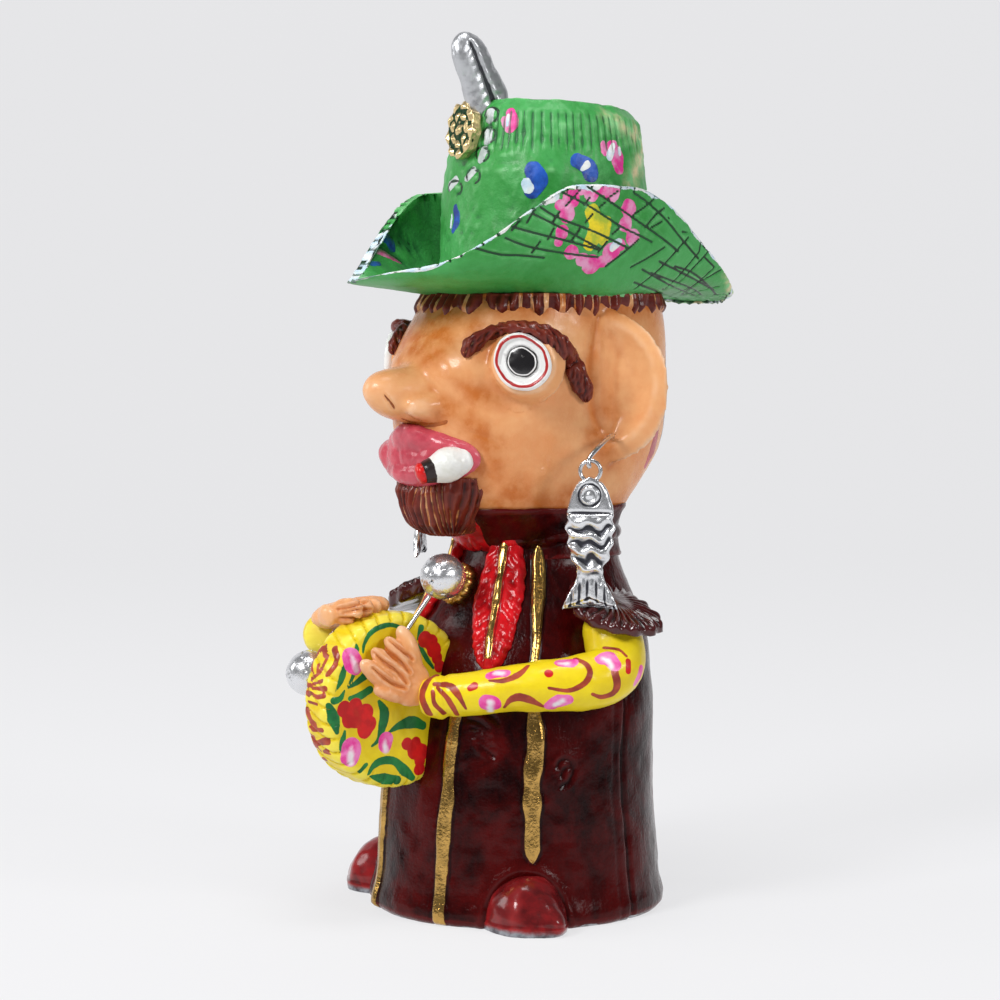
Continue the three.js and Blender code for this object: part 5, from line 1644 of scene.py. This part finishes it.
class MakeSticks(bpy.types.Operator):
    """Makes the drumsticks' rods and silvered balls"""

    bl_idname = "figurine.sticks"
    bl_label = "Drumsticks"

    def execute(self, context):
        for side, (ball, grip) in STICKS.items():
            ball, grip = DRUM_CENTRE + ball, DRUM_CENTRE + grip
            size = mm("ball_radius")
            form = shell(egg((size - 0.3,) * 3, 84, 90) + ball)
            p = form.corners
            creases = np.abs(lumps(p, 4.5, 141 + side)) + 0.5 * np.abs(lumps(p, 2.2, 143))
            form.push(0.3 - 0.5 * ramp(creases, 0.16, 0.0) + 0.2 * lumps(p, 3, 5))
            small_part("drumstick_ball", side, form, silver_finish())
            down = unit(grip - ball)
            path = [ball + down * (size + 0.3), (ball + grip) / 2, grip + down * 3]
            rod = shell(swept(path, lambda share: mm("rod_radius") + 0 * share, 60, 28))
            small_part("drumstick_rod", side, rod, wire_finish())
        return {"FINISHED"}


class MakeEarrings(bpy.types.Operator):
    """Makes the ear wires, the loops and the two silvered fish"""

    bl_idname = "figurine.earrings"
    bl_label = "Earrings"

    def execute(self, context):
        steel = wire_finish()
        for side in (-1, 1):
            top = FISH_TOPS[side]
            hole = at_head(side * 37, -2, 161.8)
            loop_top = np.array([side * 49, -7, top + 6.8])
            path = [hole, hole + (side * 4.5, -4, 1.6), lerp(hole, loop_top, 0.72) + (side * 1.2, 0, 2.6),
                    loop_top + (0, -0.6, 0.6), loop_top + (side * 0.6, -0.8, -2.6)]
            wire = shell(swept(path, lambda share: mm("rod_radius") * round_ends(share, 0.03, 0.4), 90, 24))
            small_part("ear_wire", side, wire, steel)
            place = np.array([side * 49, -7, top + 3.4])
            angle, ring = turns(90).T, turns(24)
            out = 3.4 + 0.7 * np.cos(ring)
            points = stacked(out * np.cos(angle), 0.7 * np.sin(ring), out * np.sin(angle))
            loop = loop_form(spun(points, math.radians(side * 45)) + place)
            small_part("fish_loop", side, loop, steel)
            self.fish(side, place)
        return {"FINISHED"}

    @staticmethod
    def fish(side, place):
        length = mm("fish_length")
        share = rows_of(140)
        ring = turns(100)
        wave_length = 5.2
        outline = [[0, 0.34], [0.09, 0.7], [0.24, 0.95], [0.4, 1.0], [0.58, 0.84], [0.72, 0.5], [0.8, 0.62],
                   [0.9, 0.95], [1, 1.19]]
        half = 8 * table_at(outline, share, 0.03)[0]
        half = half * np.sqrt(np.clip(share / 0.035, 0.02, 1))
        ripple = 0.45 * np.sin(share * length / wave_length * 2 * math.pi)
        half = half + ripple * ramp(share, 0.27, 0.33) * ramp(share, 0.74, 0.68)
        x = half * np.sign(np.sin(ring)) * np.abs(np.sin(ring)) ** 0.8
        thick = 2.25 * lerp(1.0, 0.62, ramp(share, 0.6, 0.8)) * np.clip((1 - share) / 0.03, 0.25, 1) ** 0.5
        y = -thick * np.sign(np.cos(ring)) * np.abs(np.cos(ring)) ** 0.55
        fork = 0.075 * length * ramp(share, 0.72, 1) * (1 - np.abs(x) / np.maximum(half, 0.1)) ** 1.2
        z = -length * share + fork
        front = np.sign(np.cos(ring))
        body = ramp(share, 0.29, 0.31) * ramp(share, 0.74, 0.70)
        warp = lumps(stacked(x * 1.2, 0 * x, z), 4.2, 152)
        wave = np.sin((z / wave_length + 0.11 * np.sin(x * 0.95 + 0.8 + 0.13 * z) + 0.2 * warp) * 2 * math.pi)
        relief = 0.75 * wave * body
        eye = np.hypot(x, z + 0.135 * length)
        relief += 0.7 * bell((eye - 2.6) / 0.45) + 0.6 * bell(eye / 1.3) - 0.5 * bell((eye - 3.6) / 0.5)
        relief -= 0.7 * bell((share - 0.272) * 70) - 0.5 * bell((share - 0.29) * 60)
        relief += 0.45 * np.sin(x * 2.3) * ramp(share, 0.76, 0.84)
        y = y - front * relief * np.abs(np.cos(ring)) ** 0.7
        form = shell(spun(stacked(x, y, z - 2), math.radians(side * 45)) + place)
        form.knead(151, 5, 0.2)
        silver = finish(foil, "fish_silver", tint("silver"), (0.05, 0.05, 0.06), 0.24, 0.1, 0.4)
        small_part("fish", side, form, silver)


class MakeStage(bpy.types.Operator):
    """Makes the pale floor, the soft lights and the camera"""

    bl_idname = "figurine.stage"
    bl_label = "Stage"

    def execute(self, context):
        scene = context.scene
        straight, bend, half_width = 1.3, 0.8, 2.4
        sheet = [(-1.2, 0), (0, 0), (straight, 0)]
        sheet += [(straight + bend * math.sin(a), bend - bend * math.cos(a))
                  for a in np.linspace(0.1, math.pi / 2, 14)]
        sheet += [(straight + bend, 2.6)]
        right = Vector((math.cos(VIEW_ANGLE), math.sin(VIEW_ANGLE), 0))
        ahead = Vector((-math.sin(VIEW_ANGLE), math.cos(VIEW_ANGLE), 0))
        corners = [ahead * far + right * side + Vector((0, 0, up))
                   for far, up in sheet for side in (-half_width, half_width)]
        faces = [(2 * k, 2 * k + 1, 2 * k + 3, 2 * k + 2) for k in range(len(sheet) - 1)]
        mesh = bpy.data.meshes.new("floor")
        mesh.from_pydata(corners, [], faces)
        mesh.shade_smooth()
        floor = bpy.data.objects.new("floor", mesh)
        scene.collection.objects.link(floor)
        maker = Maker("floor_paper")
        maker.set(Base_Color=(0.19, 0.19, 0.195, 1), Roughness=0.95, Specular_IOR_Level=0.0,
                  Emission_Color=(0.985, 0.985, 1.0, 1), Emission_Strength=0.69)
        mesh.materials.append(maker.material)

        lights = [("key", (0.25, -1.2, 0.95), 0.4, 14), ("side", (1.4, 0.35, 0.7), 0.35, 6.5),
                  ("fill", (-1.0, -1.0, 0.6), 0.5, 4), ("top", (0.2, -0.1, 1.7), 0.6, 10)]
        for name, place, size, power in lights:
            lamp = bpy.data.lights.new(name, "AREA")
            lamp.size = size
            lamp.energy = power
            made = bpy.data.objects.new(name, lamp)
            made.location = place
            made.rotation_euler = (Vector((0, 0, 0.14)) - Vector(place)).to_track_quat("-Z", "Y").to_euler()
            scene.collection.objects.link(made)
        world = bpy.data.worlds.new("studio")
        world.use_nodes = True
        world.node_tree.nodes["Background"].inputs[0].default_value = (0.95, 0.96, 1.0, 1)
        world.node_tree.nodes["Background"].inputs[1].default_value = 0.16
        scene.world = world
        scene.view_settings.view_transform = "Standard"

        camera = bpy.data.cameras.new("camera")
        camera.lens = LENS
        camera.clip_end = 20
        holder = bpy.data.objects.new("camera", camera)
        holder.location = EYE * MM
        target = Vector(VIEW_TARGET) * MM
        holder.rotation_euler = (target - holder.location).to_track_quat("-Z", "Y").to_euler()
        scene.collection.objects.link(holder)
        scene.camera = holder
        return {"FINISHED"}


OPERATORS = [MakeStage, MakeRobe, MakeShoes, MakeScarf, MakeDrum, MakeSleeves, MakeHands, MakeHead, MakeEyes,
             MakeHair, MakeMouth, MakeHat, MakeTrim, MakeSticks, MakeEarrings]


class FigurinePanel(bpy.types.Panel):
    """Lists the figurine's pieces, sizes and colours"""

    bl_idname = "VIEW3D_PT_figurine"
    bl_label = "Ceramic drummer"
    bl_space_type = "VIEW_3D"
    bl_region_type = "UI"
    bl_category = "Figurine"

    def draw(self, context):
        for operator in OPERATORS:
            self.layout.operator(operator.bl_idname)
        for group in (context.scene.figurine_sizes, context.scene.figurine_colours):
            for name in group.__annotations__:
                self.layout.prop(group, name)


CLASSES = [FigurineSizes, FigurineColours, *OPERATORS, FigurinePanel]


def register():
    for item in CLASSES:
        bpy.utils.register_class(item)
    bpy.types.Scene.figurine_sizes = PointerProperty(type=FigurineSizes)
    bpy.types.Scene.figurine_colours = PointerProperty(type=FigurineColours)


def unregister():
    del bpy.types.Scene.figurine_sizes, bpy.types.Scene.figurine_colours
    for item in reversed(CLASSES):
        bpy.utils.unregister_class(item)


def main():
    register()
    for operator in OPERATORS:
        group, name = operator.bl_idname.split(".")
        if getattr(getattr(bpy.ops, group), name)() != {"FINISHED"}:
            raise RuntimeError(operator.bl_label + " was not made")


if __name__ == "__main__":
    main()
